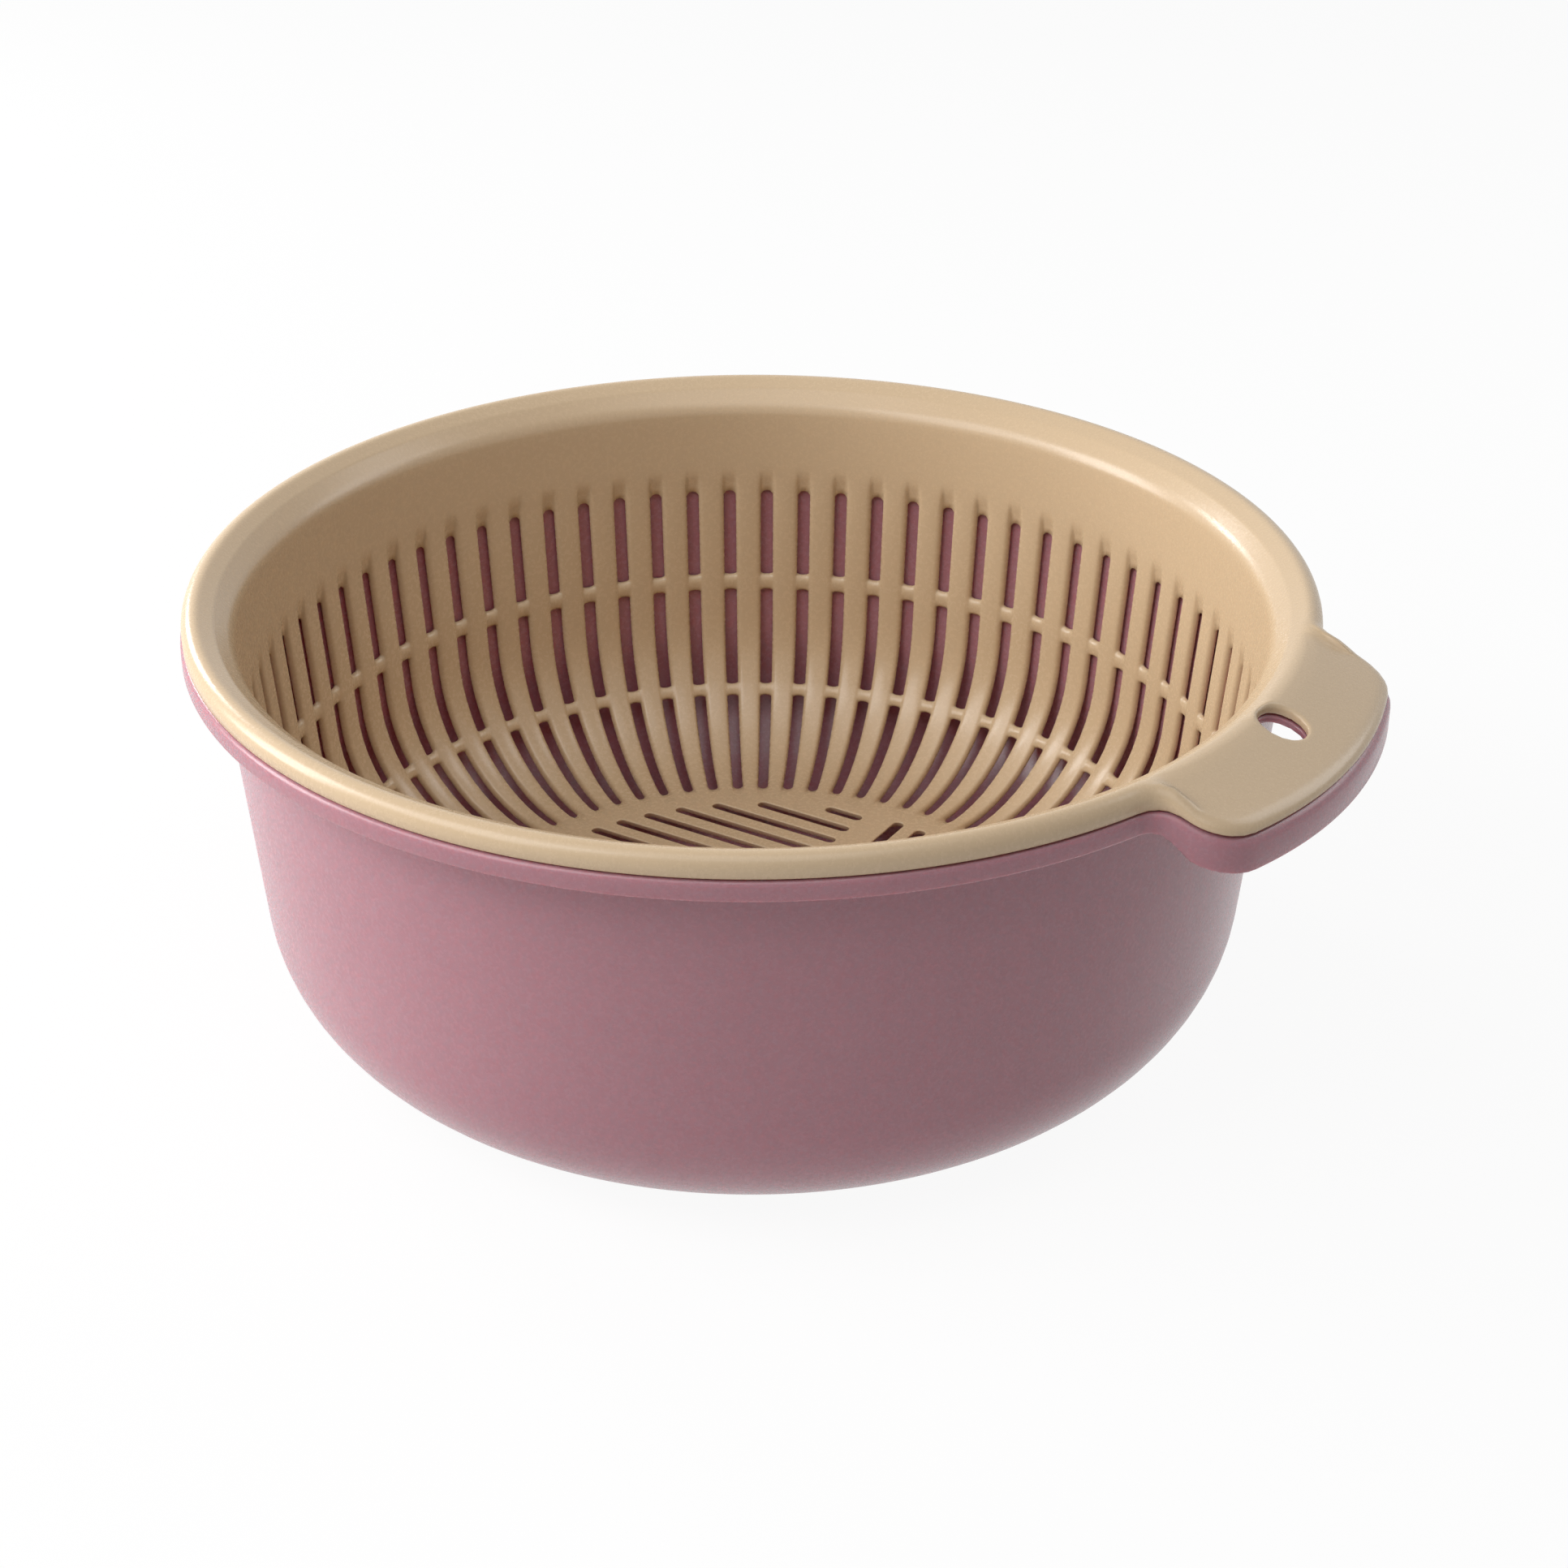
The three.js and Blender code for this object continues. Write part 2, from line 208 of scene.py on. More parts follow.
def fill_between(rim: np.ndarray, holes: np.ndarray) -> tuple[np.ndarray, np.ndarray]:
    """Triangulates a level face with holes, by Delaunay's rule with every outline kept.

    Args:
        rim: Outer outline, whose height is the face's.
        holes: Outlines of holes, each bulging outwards all round, by points by 3.

    Returns:
        Points and triangles, which face up.
    """
    outlines = [rim, *holes]
    owner = np.repeat(np.arange(len(outlines)), [len(outline) for outline in outlines])
    edges = []
    for outline in outlines:
        number = len(edges) + np.arange(len(outline))
        edges += np.column_stack((number, np.roll(number, -1))).tolist()
    flat = [Vector(point) for point in np.concatenate(outlines)[:, :2]]
    spots, _, faces, sources, _, _ = delaunay_2d_cdt(flat, edges, [], INSIDE_OUTLINES, CLOSE)
    owner = owner[[source[0] for source in sources]]
    corners = np.array(faces)
    first, second, third = owner[corners].T
    in_hole = (first > 0) & (first == second) & (second == third)
    points = np.column_stack((np.array(spots), np.full(len(spots), rim[0, 2])))
    return points, corners[~in_hole]


@dataclass
class Shell:
    """Patches of one moulding, which weld where their edges meet."""

    name: str
    points: list[np.ndarray] = field(default_factory=list)
    faces: list[list[int]] = field(default_factory=list)
    count: int = 0

    def patch(self, points: np.ndarray, faces: np.ndarray) -> None:
        """Adds faces, and those points that they number.

        Args:
            points: Points in millimetres, in a grid of any shape.
            faces: Point numbers, with each face's corners along the last axis.
        """
        used, corners = np.unique(faces, return_inverse=True)
        self.points.append(points.reshape(-1, 3)[used])
        self.faces += (corners.reshape(-1, faces.shape[-1]) + self.count).tolist()
        self.count += len(used)

    def sheet(self, points: np.ndarray, keep: np.ndarray | None = None, flip: bool = False) -> None:
        """Adds a grid that closes around its columns.

        Args:
            points: Rows by columns by 3.
            keep: Which cells have a face, where some are left open.
            flip: Whether the front is the other side.
        """
        faces = grid_quads(*points.shape[:2])
        faces = faces[..., ::-1] if flip else faces
        self.patch(points, faces if keep is None else faces[keep])

    def build(self, finish: "MouldedPlastic") -> bpy.types.Object:
        """Welds the patches into one mesh and dresses it.

        Args:
            finish: What the moulding is made of.

        Returns:
            The piece, at the origin, with its place in its mesh.
        """
        mesh = bpy.data.meshes.new(self.name)
        mesh.from_pydata((np.concatenate(self.points) * MM).tolist(), [], self.faces)
        welded = bmesh.new()
        welded.from_mesh(mesh)
        bmesh.ops.remove_doubles(welded, verts=welded.verts, dist=WELD)
        welded.to_mesh(mesh)
        welded.free()
        mesh.polygons.foreach_set("use_smooth", np.ones(len(mesh.polygons), dtype=bool))
        mesh.materials.append(finish.material())
        piece = bpy.data.objects.new(self.name, mesh)
        bpy.context.scene.collection.objects.link(piece)
        return piece


@dataclass(frozen=True)
class WallLine:
    """Outer face of a bowl in section: a leaning wall, a round corner and a level base.

    Depths run down the face from the mouth, and insets square to it, into the wall.
    """

    mouth_radius: float
    mouth_height: float
    base_height: float
    corner_radius: float
    draft: float  # radians

    @property
    def straight(self) -> float:
        """Length of the leaning wall, from the mouth to the corner."""
        rise = self.corner_radius * (1 - math.sin(self.draft))
        return (self.mouth_height - self.base_height - rise) / math.cos(self.draft)

    @property
    def bend(self) -> float:
        """Length of the corner's arc."""
        return self.corner_radius * (math.pi / 2 - self.draft)

    @property
    def floor_radius(self) -> float:
        """Radius at which the corner meets the level base."""
        return float(self.point(self.straight + self.bend, 0)[0])

    def point(self, depth: np.ndarray | float, inset: np.ndarray | float) -> tuple[np.ndarray, np.ndarray]:
        """Radius and height at a depth and an inset.

        The face falls straight at the draft, turns through the rest of a quarter circle in its
        corner, and then runs level to the axis. The inset is taken along the normal.

        Args:
            depth: Distance down the face.
            inset: Distance into the wall.

        Returns:
            Radii and heights.
        """
        depth = np.asarray(depth, dtype=float)
        down = np.minimum(depth, self.straight)
        turn = self.draft + np.clip(depth - self.straight, 0, self.bend) / self.corner_radius
        level = np.maximum(depth - self.straight - self.bend, 0)
        reach = self.corner_radius - inset
        radius = self.mouth_radius - down * math.sin(self.draft) - level
        height = self.mouth_height - down * math.cos(self.draft)
        radius = radius + reach * np.cos(turn) - self.corner_radius * math.cos(self.draft)
        height = height - reach * np.sin(turn) + self.corner_radius * math.sin(self.draft)
        return radius, height

    def line(self, depths: np.ndarray, inset: float) -> np.ndarray:
        """Section points at some depths, all at one inset."""
        return np.column_stack(self.point(depths, inset))


@dataclass(frozen=True)
class TabPlan:
    """Plan of a round rim with one grip tab: concave roots, round corners and a bowed outer edge."""

    rim_radius: float
    reach: float  # beyond the rim
    half_width: float
    edge_radius: float
    corner_radius: float
    root_radius: float
    spread: float = 24.0  # degrees to each side, within which the rim's columns fan out
    blend: float = 9.0  # reach over which the rim's section turns to the tab's
    arc_steps: int = 24

    def half_outline(self) -> tuple[np.ndarray, np.ndarray]:
        """Outline on the +Y side, from the tab's middle to the plain rim: four arcs in a row.

        Returns:
            Points and outward normals.
        """
        tip = self.rim_radius + self.reach
        axis = (0.0, 0.0)
        bow = (tip - self.edge_radius, 0.0)
        corner_y = self.half_width - self.corner_radius
        corner_run = self.edge_radius - self.corner_radius
        corner = (bow[0] + math.sqrt(corner_run**2 - corner_y**2), corner_y)
        corner_turn = math.degrees(math.asin(corner_y / corner_run))
        root_y = self.half_width + self.root_radius
        root_run = self.rim_radius + self.root_radius
        root = (math.sqrt(root_run**2 - root_y**2), root_y)
        root_turn = math.degrees(math.asin(root_y / root_run))
        arcs = (
            (bow, self.edge_radius, (0, corner_turn), 1),
            (corner, self.corner_radius, (corner_turn, 90), 1),
            (root, self.root_radius, (270, 180 + root_turn), -1),
            (axis, self.rim_radius, (root_turn, self.spread), 1),
        )
        points = [arc(centre, (size, size), turn, self.arc_steps)[1:] for centre, size, turn, _ in arcs]
        normals = [side * arc(axis, (1, 1), turn, self.arc_steps)[1:] for _, _, turn, side in arcs]
        first = np.array([[tip, 0.0]])
        return np.concatenate([first, *points]), np.concatenate([first / tip, *normals])

    def outline(self, angles: np.ndarray) -> tuple[np.ndarray, np.ndarray, np.ndarray]:
        """Where the columns that leave the rim's base circle at some angles meet the outline.

        Inside the spread a column's share of the angle is its share of the outline's length, and
        outside it the columns are radii.

        Args:
            angles: Columns' angles, in radians.

        Returns:
            Outline points, outward normals, and weights that are 0 on the rim and 1 on the tab.
        """
        points, normals = self.half_outline()
        length = np.concatenate(([0], np.cumsum(np.linalg.norm(np.diff(points, axis=0), axis=1))))
        share = np.abs(angles) / math.radians(self.spread)
        inside = (share < 1)[:, None]
        side = np.where(angles < 0, -1, 1)
        along = np.minimum(share, 1) * length[-1]
        ray = np.column_stack((np.cos(angles), np.sin(angles)))
        mirror = np.column_stack((np.ones(len(side)), side))
        edge = mirror * np.column_stack([np.interp(along, length, axis) for axis in points.T])
        out = mirror * np.column_stack([np.interp(along, length, axis) for axis in normals.T])
        out /= np.linalg.norm(out, axis=1, keepdims=True)
        edge = np.where(inside, edge, self.rim_radius * ray)
        out = np.where(inside, out, ray)
        weight = ease(np.linalg.norm(edge, axis=1) - self.rim_radius, 0, self.blend)
        return edge, out, weight


def radial(section: np.ndarray) -> np.ndarray:
    """Rim rows that are plain circles: radius, share 0, inset 0, height and dip 0 of each."""
    empty = np.zeros(len(section))
    return np.column_stack((section[:, 0], empty, empty, section[:, 1], empty))


def across(radius: float, inset: float, shares: np.ndarray, height: float, dip: float) -> np.ndarray:
    """Rim rows at shares of the way from a base circle to a line inset from the outline."""
    shape = np.ones(len(shares))
    return np.column_stack((radius * shape, shares, inset * shape, height * shape, dip * shape))


def along_edge(section: np.ndarray) -> np.ndarray:
    """Rim rows at insets from the outline, each with its height."""
    shape = np.ones(len(section))
    return np.column_stack((0 * shape, shape, section[:, 0], section[:, 1], 0 * shape))


@dataclass(frozen=True)
class Flange:
    """Rim and grip tab of a moulding as one sheet, with a hang hole in the tab.

    From its crest the sheet falls inwards to the wall, and on the tab outwards as well.
    """

    plan: TabPlan
    inner_start: float  # radius of the crest, inside which the sheet falls to the wall
    inner_slope: float
    inner_bend: float
    outer_slope: float
    hole_centre: float  # from the axis
    hole_radius: float
    hole_rounding: float
    hole_back: float  # small rounding at the hole's lower edge
    hole_collar: float  # plain ring about the hole, where the sheet's cells are cut out
    outer_start: float = 119.5  # radius past which the tab falls outwards
    outer_bend: float = 3.0
    under_share: float = 0.55  # share of the inner fall that the lower face takes
    hole_half_angle: float = 3.5  # degrees each side of the tab's middle that are cut out
    hole_steps: int = 4
    rows: tuple[float, ...] = (118.4, 119.4, 121.0, 123.2, 126.5, 130.0, 134.2, 137.6)  # on the tab's middle
    hole_rows: tuple[int, int] = (1, 6)  # first and last row at the cut-out
    least_share: float = 0.006  # between rows that would lie inside their base circle

    def inner_fall(self, radius: np.ndarray | float) -> np.ndarray:
        """Fall from the crest towards the wall."""
        return run_off(self.inner_start - radius, self.inner_slope, self.inner_bend)

    def outer_fall(self, radius: np.ndarray) -> np.ndarray:
        """Fall of the tab towards its outer edge."""
        return run_off(radius - self.outer_start, self.outer_slope, self.outer_bend)

    def shares(self, base: float, inset: float) -> np.ndarray:
        """Shares of the way from a base circle to the tab's tip, less an inset, at which the rows lie.

        Args:
            base: Radius of the base circle.
            inset: How far short of the tip the way ends.

        Returns:
            A share for each row, rising from row to row.
        """
        end = self.plan.rim_radius + self.plan.reach - inset
        least = self.least_share * np.arange(1, len(self.rows) + 1)
        return np.maximum((np.array(self.rows) - base) / (end - base), least)

    def spans(self, top_start: int, under_start: int) -> tuple[np.ndarray, np.ndarray]:
        """Numbers of the rows at the cut-out, from outside in.

        Args:
            top_start: Number of the first row of the upper face, which runs inwards.
            under_start: Number of the first row of the lower face, which runs outwards.

        Returns:
            Row numbers on the upper and on the lower face.
        """
        row = np.arange(self.hole_rows[1], self.hole_rows[0] - 1, -1)
        return top_start + len(self.rows) - 1 - row, under_start + row

    def place(
        self, rows: np.ndarray, ray: np.ndarray, edge: np.ndarray, out: np.ndarray, falls: bool
    ) -> np.ndarray:
        """Places rows of one section round the rim.

        A row's point lies at its share of the way from its base circle to the outline less its
        inset. It sinks by its dip times the inner fall, and on the tab by the outer fall too.

        Args:
            rows: Radius, share, inset, height and dip of each row.
            ray: Columns' directions from the axis.
            edge: Columns' outline points.
            out: Columns' outward normals.
            falls: Whether the section is the tab's.

        Returns:
            Rows by columns by 3.
        """
        radius, share, inset, height, dip = (column[:, None, None] for column in rows.T)
        base = radius * ray
        flat = base + share * (edge - inset * out - base)
        reach = np.linalg.norm(flat, axis=2, keepdims=True)
        sink = dip * self.inner_fall(reach) + (self.outer_fall(reach) if falls else 0)
        return np.concatenate((flat, height - sink), axis=2)

    def sheet(self, angles: np.ndarray, rim_rows: np.ndarray, tab_rows: np.ndarray) -> np.ndarray:
        """Rim's section carried round, turning to the tab's section by the plan's weight.

        Args:
            angles: Columns' angles, in radians.
            rim_rows: Radius, share, inset, height and dip of each row of the rim's section.
            tab_rows: The same for the tab's section.

        Returns:
            Rows by columns by 3.
        """
        edge, out, weight = self.plan.outline(angles)
        ray = np.column_stack((np.cos(angles), np.sin(angles)))
        rim = self.place(rim_rows, ray, edge, out, falls=False)
        tab = self.place(tab_rows, ray, edge, out, falls=True)
        mix = weight[None, :, None]
        return rim * (1 - mix) + tab * mix

    def add(
        self, shell: Shell, angles: np.ndarray, points: np.ndarray, top: np.ndarray, under: np.ndarray
    ) -> None:
        """Adds the sheet to a shell, less the cells round the hang hole, and lines the hole.

        Args:
            shell: Moulding that takes the sheet.
            angles: Columns' angles in radians, within half a turn of the tab.
            points: The sheet.
            top: Numbers of the rows on the tab's top face that span the hole, from outside in.
            under: Numbers of the same rows on its lower face.
        """
        half = math.radians(self.hole_half_angle)
        columns = np.flatnonzero(np.abs(angles) < half)
        keep = np.ones((points.shape[0] - 1, points.shape[1]), dtype=bool)
        keep[np.ix_(np.arange(top.min(), top.max()), columns[:-1])] = False
        keep[np.ix_(np.arange(under.min(), under.max()), columns[:-1])] = False
        shell.sheet(points, keep)
        top_loop = self.loop(points, top, columns)
        under_loop = self.loop(points, under, columns)
        shell.sheet(np.concatenate((top_loop[None], self.rings(top_loop, under_loop), under_loop[None])))

    @staticmethod
    def loop(points: np.ndarray, rows: np.ndarray, columns: np.ndarray) -> np.ndarray:
        """Edge of a block of cells, anticlockwise from above.

        Args:
            points: The sheet.
            rows: Numbers of the block's rows, from outside in.
            columns: Numbers of its columns.

        Returns:
            Points along the edge.
        """
        return np.concatenate(
            (
                points[rows[0], columns[:-1]],
                points[rows[:-1], columns[-1]],
                points[rows[-1], columns[:0:-1]],
                points[rows[:0:-1], columns[0]],
            )
        )

    def rings(self, top_loop: np.ndarray, under_loop: np.ndarray) -> np.ndarray:
        """Hole's lining: circles that round over the upper edge, pass through and round out below.

        Args:
            top_loop: Edge of the cut-out in the tab's top face.
            under_loop: Edge of the cut-out in its lower face.

        Returns:
            Rings by points by 3.
        """
        top = self.level(top_loop, 1.0)
        thick = top - self.level(under_loop, self.under_share)
        big, small = self.hole_rounding, self.hole_back
        upper = arc((big, -big), (big, big), (90, 180), self.hole_steps)
        lower = arc((small, small - thick), (small, small), (180, 270), self.hole_steps)
        collar = np.array([[self.hole_collar, 0.0]])
        section = np.concatenate((collar, upper, lower, collar - [[0, thick]]))
        dip = np.where(np.arange(len(section)) <= len(upper), 1.0, self.under_share)[:, None]
        turn = np.arctan2(top_loop[:, 1], top_loop[:, 0] - self.hole_centre)
        circle = np.column_stack((np.cos(turn), np.sin(turn)))
        flat = (self.hole_radius + section[:, 0])[:, None, None] * circle + [self.hole_centre, 0]
        radius = np.linalg.norm(flat, axis=2)
        height = top + section[:, [1]] - self.outer_fall(radius) - dip * self.inner_fall(radius)
        return np.concatenate((flat, height[..., None]), axis=2)

    def level(self, loop: np.ndarray, dip: float) -> float:
        """Height of a face before its falls, from points on it and its share of the inner fall."""
        radius = np.linalg.norm(loop[:, :2], axis=1)
        return float(np.mean(loop[:, 2] + self.outer_fall(radius) + dip * self.inner_fall(radius)))


@dataclass(frozen=True)
class MouldedPlastic:
    """Injection-moulded polypropylene: soft colour, satin skin, and the faint cloud of its flow."""

    name: str
    tone: str  # main colour, sRGB
    cloud: str  # colour that the flow drifts to, sRGB
    roughness: float = 0.27
    roughness_drift: float = 0.05
    flow_mm: float = 60.0  # spread of one drift of colour
    flow_detail: float = 2.0  # finer octaves of the drift
    flow_detail_share: float = 0.5  # strength of each octave beside the one before
    grain_mm: float = 1.1  # spark-eroded mould skin, drawn coarser than its 0.1 mm so that it shows
    grain_depth_mm: float = 0.02
    grain_detail: float = 3.0
    grain_detail_share: float = 0.6
    ior: float = 1.49
    translucence: float = 0.0  # share of the light that passes into the wall
    red_path_mm: float = 3.2  # how far red light gets in it
    other_path_mm: float = 0.6  # how far green and blue get

    def material(self) -> bpy.types.Material:
        """Node material on Object coordinates.

        Polypropylene has a low, waxy gloss. Colour drifts by a shade along the melt's flow, and the
        mould's eroded skin breaks up the edge of each highlight. Where the wall lets light in, red
        gets further than the rest, so that shaded places glow a little red.

        Returns:
            The material.
        """
        made = bpy.data.materials.new(self.name)
        made.use_nodes = True
        tree = made.node_tree
        tree.nodes.clear()
        place = add_node(tree, "ShaderNodeTexCoord", {}, {}).outputs["Object"]
        flow = add_node(
            tree,
            "ShaderNodeTexNoise",
            {},
            {
                "Vector": place,
                "Scale": 1 / (self.flow_mm * MM),
                "Detail": self.flow_detail,
                "Roughness": self.flow_detail_share,
            },
        ).outputs["Fac"]
        grain = add_node(
            tree,
            "ShaderNodeTexNoise",
            {},
            {
                "Vector": place,
                "Scale": 1 / (self.grain_mm * MM),
                "Detail": self.grain_detail,
                "Roughness": self.grain_detail_share,
            },
        ).outputs["Fac"]
        # A mix of colours takes them in its sockets 6 and 7, and gives its result in output 2.
        colour = add_node(
            tree,
            "ShaderNodeMix",
            {"data_type": "RGBA"},
            {0: flow, 6: linear(self.tone), 7: linear(self.cloud)},
        ).outputs[2]
        rough = add_node(
            tree,
            "ShaderNodeMapRange",
            {},
            {
                "Value": grain,
                "To Min": self.roughness - self.roughness_drift,
                "To Max": self.roughness + self.roughness_drift,
            },
        ).outputs["Result"]
        bump = add_node(
            tree,
            "ShaderNodeBump",
            {},
            {"Height": grain, "Distance": self.grain_depth_mm * MM},
        ).outputs["Normal"]
        skin = add_node(
            tree,
            "ShaderNodeBsdfPrincipled",
            {},
            {
                "Base Color": colour,
                "Roughness": rough,
                "Normal": bump,
                "IOR": self.ior,
                "Subsurface Weight": self.translucence,
                "Subsurface Radius": (self.red_path_mm, self.other_path_mm, self.other_path_mm),
                "Subsurface Scale": MM,
            },
        ).outputs["BSDF"]
        add_node(tree, "ShaderNodeOutputMaterial", {}, {"Surface": skin})
        return made


@dataclass
class Bowl:
    """Outer bowl: a smooth shell with a turned-down lip and an ear under the basket's tab."""

    finish: MouldedPlastic
    height: float = 99.0
    mouth_radius: float = 118.0
    wall: float = 1.6
    corner_radius: float = 36.0
    draft_degrees: float = 5.5
    lip_overhang: float = 7.4
    lip_depth: float = 4.4
    lip_rounding: float = 1.2
    mouth_rounding: float = 0.6  # lip's inner edge
    root_rounding: float = 1.2  # under the lip
    skirt_rounding: float = 0.5  # lower edge of the lip
    ear_level: float = 101.4  # ear's top face, before its slopes
    ear_reach: float = 17.0  # beyond the lip
    ear_half_width: float = 42.8
    ear_edge_radius: float = 112.8
    ear_corner_radius: float = 11.8
    ear_root_radius: float = 4.6
    ear_skirt: float = 7.2
    ear_rounding: float = 1.6
    ear_offset: float = 0.3  # ear's root, out from the wall
    ramp_start: float = 121.0  # radius inside which the ear slopes down to the mouth
    ramp_slope: float = 0.8
    ramp_bend: float = 1.5
    ear_slope: float = 0.33
    hole_centre: float = 126.5
    hole_radius: float = 5.2
    hole_rounding: float = 0.6
    hole_back: float = 0.4
    hole_collar: float = 1.0
    flange_depth: float = 11.0  # rim's sheet runs this far down the wall
    columns: int = 480
    wall_rows: int = 4
    corner_steps: int = 16
    base_shares: tuple[float, ...] = (0.04, 0.5, 1.0)  # rows on the base, from the corner to the axis
    round_steps: int = 4

    @property
    def draft(self) -> float:
        """Lean of the wall, in radians."""
        return math.radians(self.draft_degrees)

    @property
    def line(self) -> WallLine:
        """Outer face in section."""
        return WallLine(self.mouth_radius, self.height, 0.0, self.corner_radius, self.draft)

    @property
    def lip_radius(self) -> float:
        """Outer edge of the lip."""
        return self.mouth_radius + self.lip_overhang

    def flange(self) -> Flange:
        """Lip and ear."""
        return Flange(
            plan=TabPlan(
                self.lip_radius,
                self.ear_reach,
                self.ear_half_width,
                self.ear_edge_radius,
                self.ear_corner_radius,
                self.ear_root_radius,
            ),
            inner_start=self.ramp_start,
            inner_slope=self.ramp_slope,
            inner_bend=self.ramp_bend,
            outer_slope=self.ear_slope,
            hole_centre=self.hole_centre,
            hole_radius=self.hole_radius,
            hole_rounding=self.hole_rounding,
            hole_back=self.hole_back,
            hole_collar=self.hole_collar,
        )

    def section(self, ear: bool) -> tuple[np.ndarray, np.ndarray, np.ndarray]:
        """Rows of the lip's section, or of the ear's: up the wall, out, round the skirt and back in.

        Args:
            ear: Whether the section is the ear's.

        Returns:
            Rows, and the numbers of those that span the hang hole above and below, from outside in.
        """
        flange = self.flange()
        top = self.ear_level if ear else self.height
        low = top - (self.ear_skirt if ear else self.lip_depth)
        rounding = self.ear_rounding if ear else self.lip_rounding
        under = top - self.wall
        root, soft, edge = self.root_rounding, self.skirt_rounding, self.mouth_rounding
        wall_radius = self.mouth_radius + (self.ear_offset if ear else 0)
        base = wall_radius + root
        dip = 1.0 if ear else 0.0
        under_dip = dip * flange.under_share
        root_top = under - under_dip * float(flange.inner_fall(base)) - root
        outer_wall = np.concatenate(
            (
                self.line.line(np.array([self.flange_depth, self.flange_depth / 2]), 0),
                arc((base, root_top), (root, root), (180, 90), self.round_steps),
            )
        )
        skirt = np.concatenate(
            (
                arc((self.wall + root, under - root), (-root, root), (90, 0), self.round_steps),
                arc((self.wall - soft, low + soft), (soft, -soft), (0, 90), self.round_steps // 2),
                arc((soft, low + soft), (-soft, -soft), (90, 0), self.round_steps // 2),
                arc((rounding, top - rounding), (-rounding, rounding), (0, 90), self.round_steps),
            )
        )
        inner_face = float(self.line.point(0, self.wall)[0])
        mouth = (inner_face + edge, self.height - edge)
        inner_wall = np.concatenate(
            (
                arc(mouth, (edge, edge), (90, 180), self.round_steps // 2),
                self.line.line(np.array([2 * edge, self.flange_depth / 2, self.flange_depth]), self.wall),
            )
        )
        parts = (
            radial(outer_wall),
            across(base, rounding, flange.shares(base, rounding), under, under_dip),
            along_edge(skirt),
            across(mouth[0], rounding, flange.shares(mouth[0], rounding)[::-1], top, dip),
            radial(inner_wall),
        )
        starts = np.cumsum([0] + [len(part) for part in parts])
        return np.concatenate(parts), *flange.spans(int(starts[3]), int(starts[1]))

    def build(self) -> bpy.types.Object:
        """Lathes the wall and base, outside and in, and joins the lip and ear to them.

        Returns:
            The bowl's piece.
        """
        shell = Shell("bowl_shell")
        angles = np.linspace(-math.pi, math.pi, self.columns, endpoint=False)
        rim_rows, top, under = self.section(ear=False)
        ear_rows, _, _ = self.section(ear=True)
        flange = self.flange()
        flange.add(shell, angles, flange.sheet(angles, rim_rows, ear_rows), top, under)
        line = self.line
        depths = np.concatenate(
            (
                np.linspace(self.flange_depth, line.straight, self.wall_rows),
                line.straight + line.bend * np.arange(1, self.corner_steps + 1) / self.corner_steps,
                line.straight + line.bend + line.floor_radius * np.array(self.base_shares),
            )
        )
        ray = np.column_stack((np.cos(angles), np.sin(angles)))
        for inset, flip in ((0.0, True), (self.wall, False)):
            radius, height = line.point(depths, inset)
            flat = radius[:, None, None] * ray
            rise = np.broadcast_to(height[:, None, None], flat.shape[:2] + (1,))
            shell.sheet(np.concatenate((flat, rise), axis=2), flip=flip)
        return shell.build(self.finish)

    def dress(self) -> bpy.types.Object:
        """Builds the bowl and sets it on its body.

        Returns:
            The bowl's piece.
        """
        piece = self.build()
        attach(piece, Body.BOWL.value)
        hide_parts(Node.BOWL.value)
        return piece


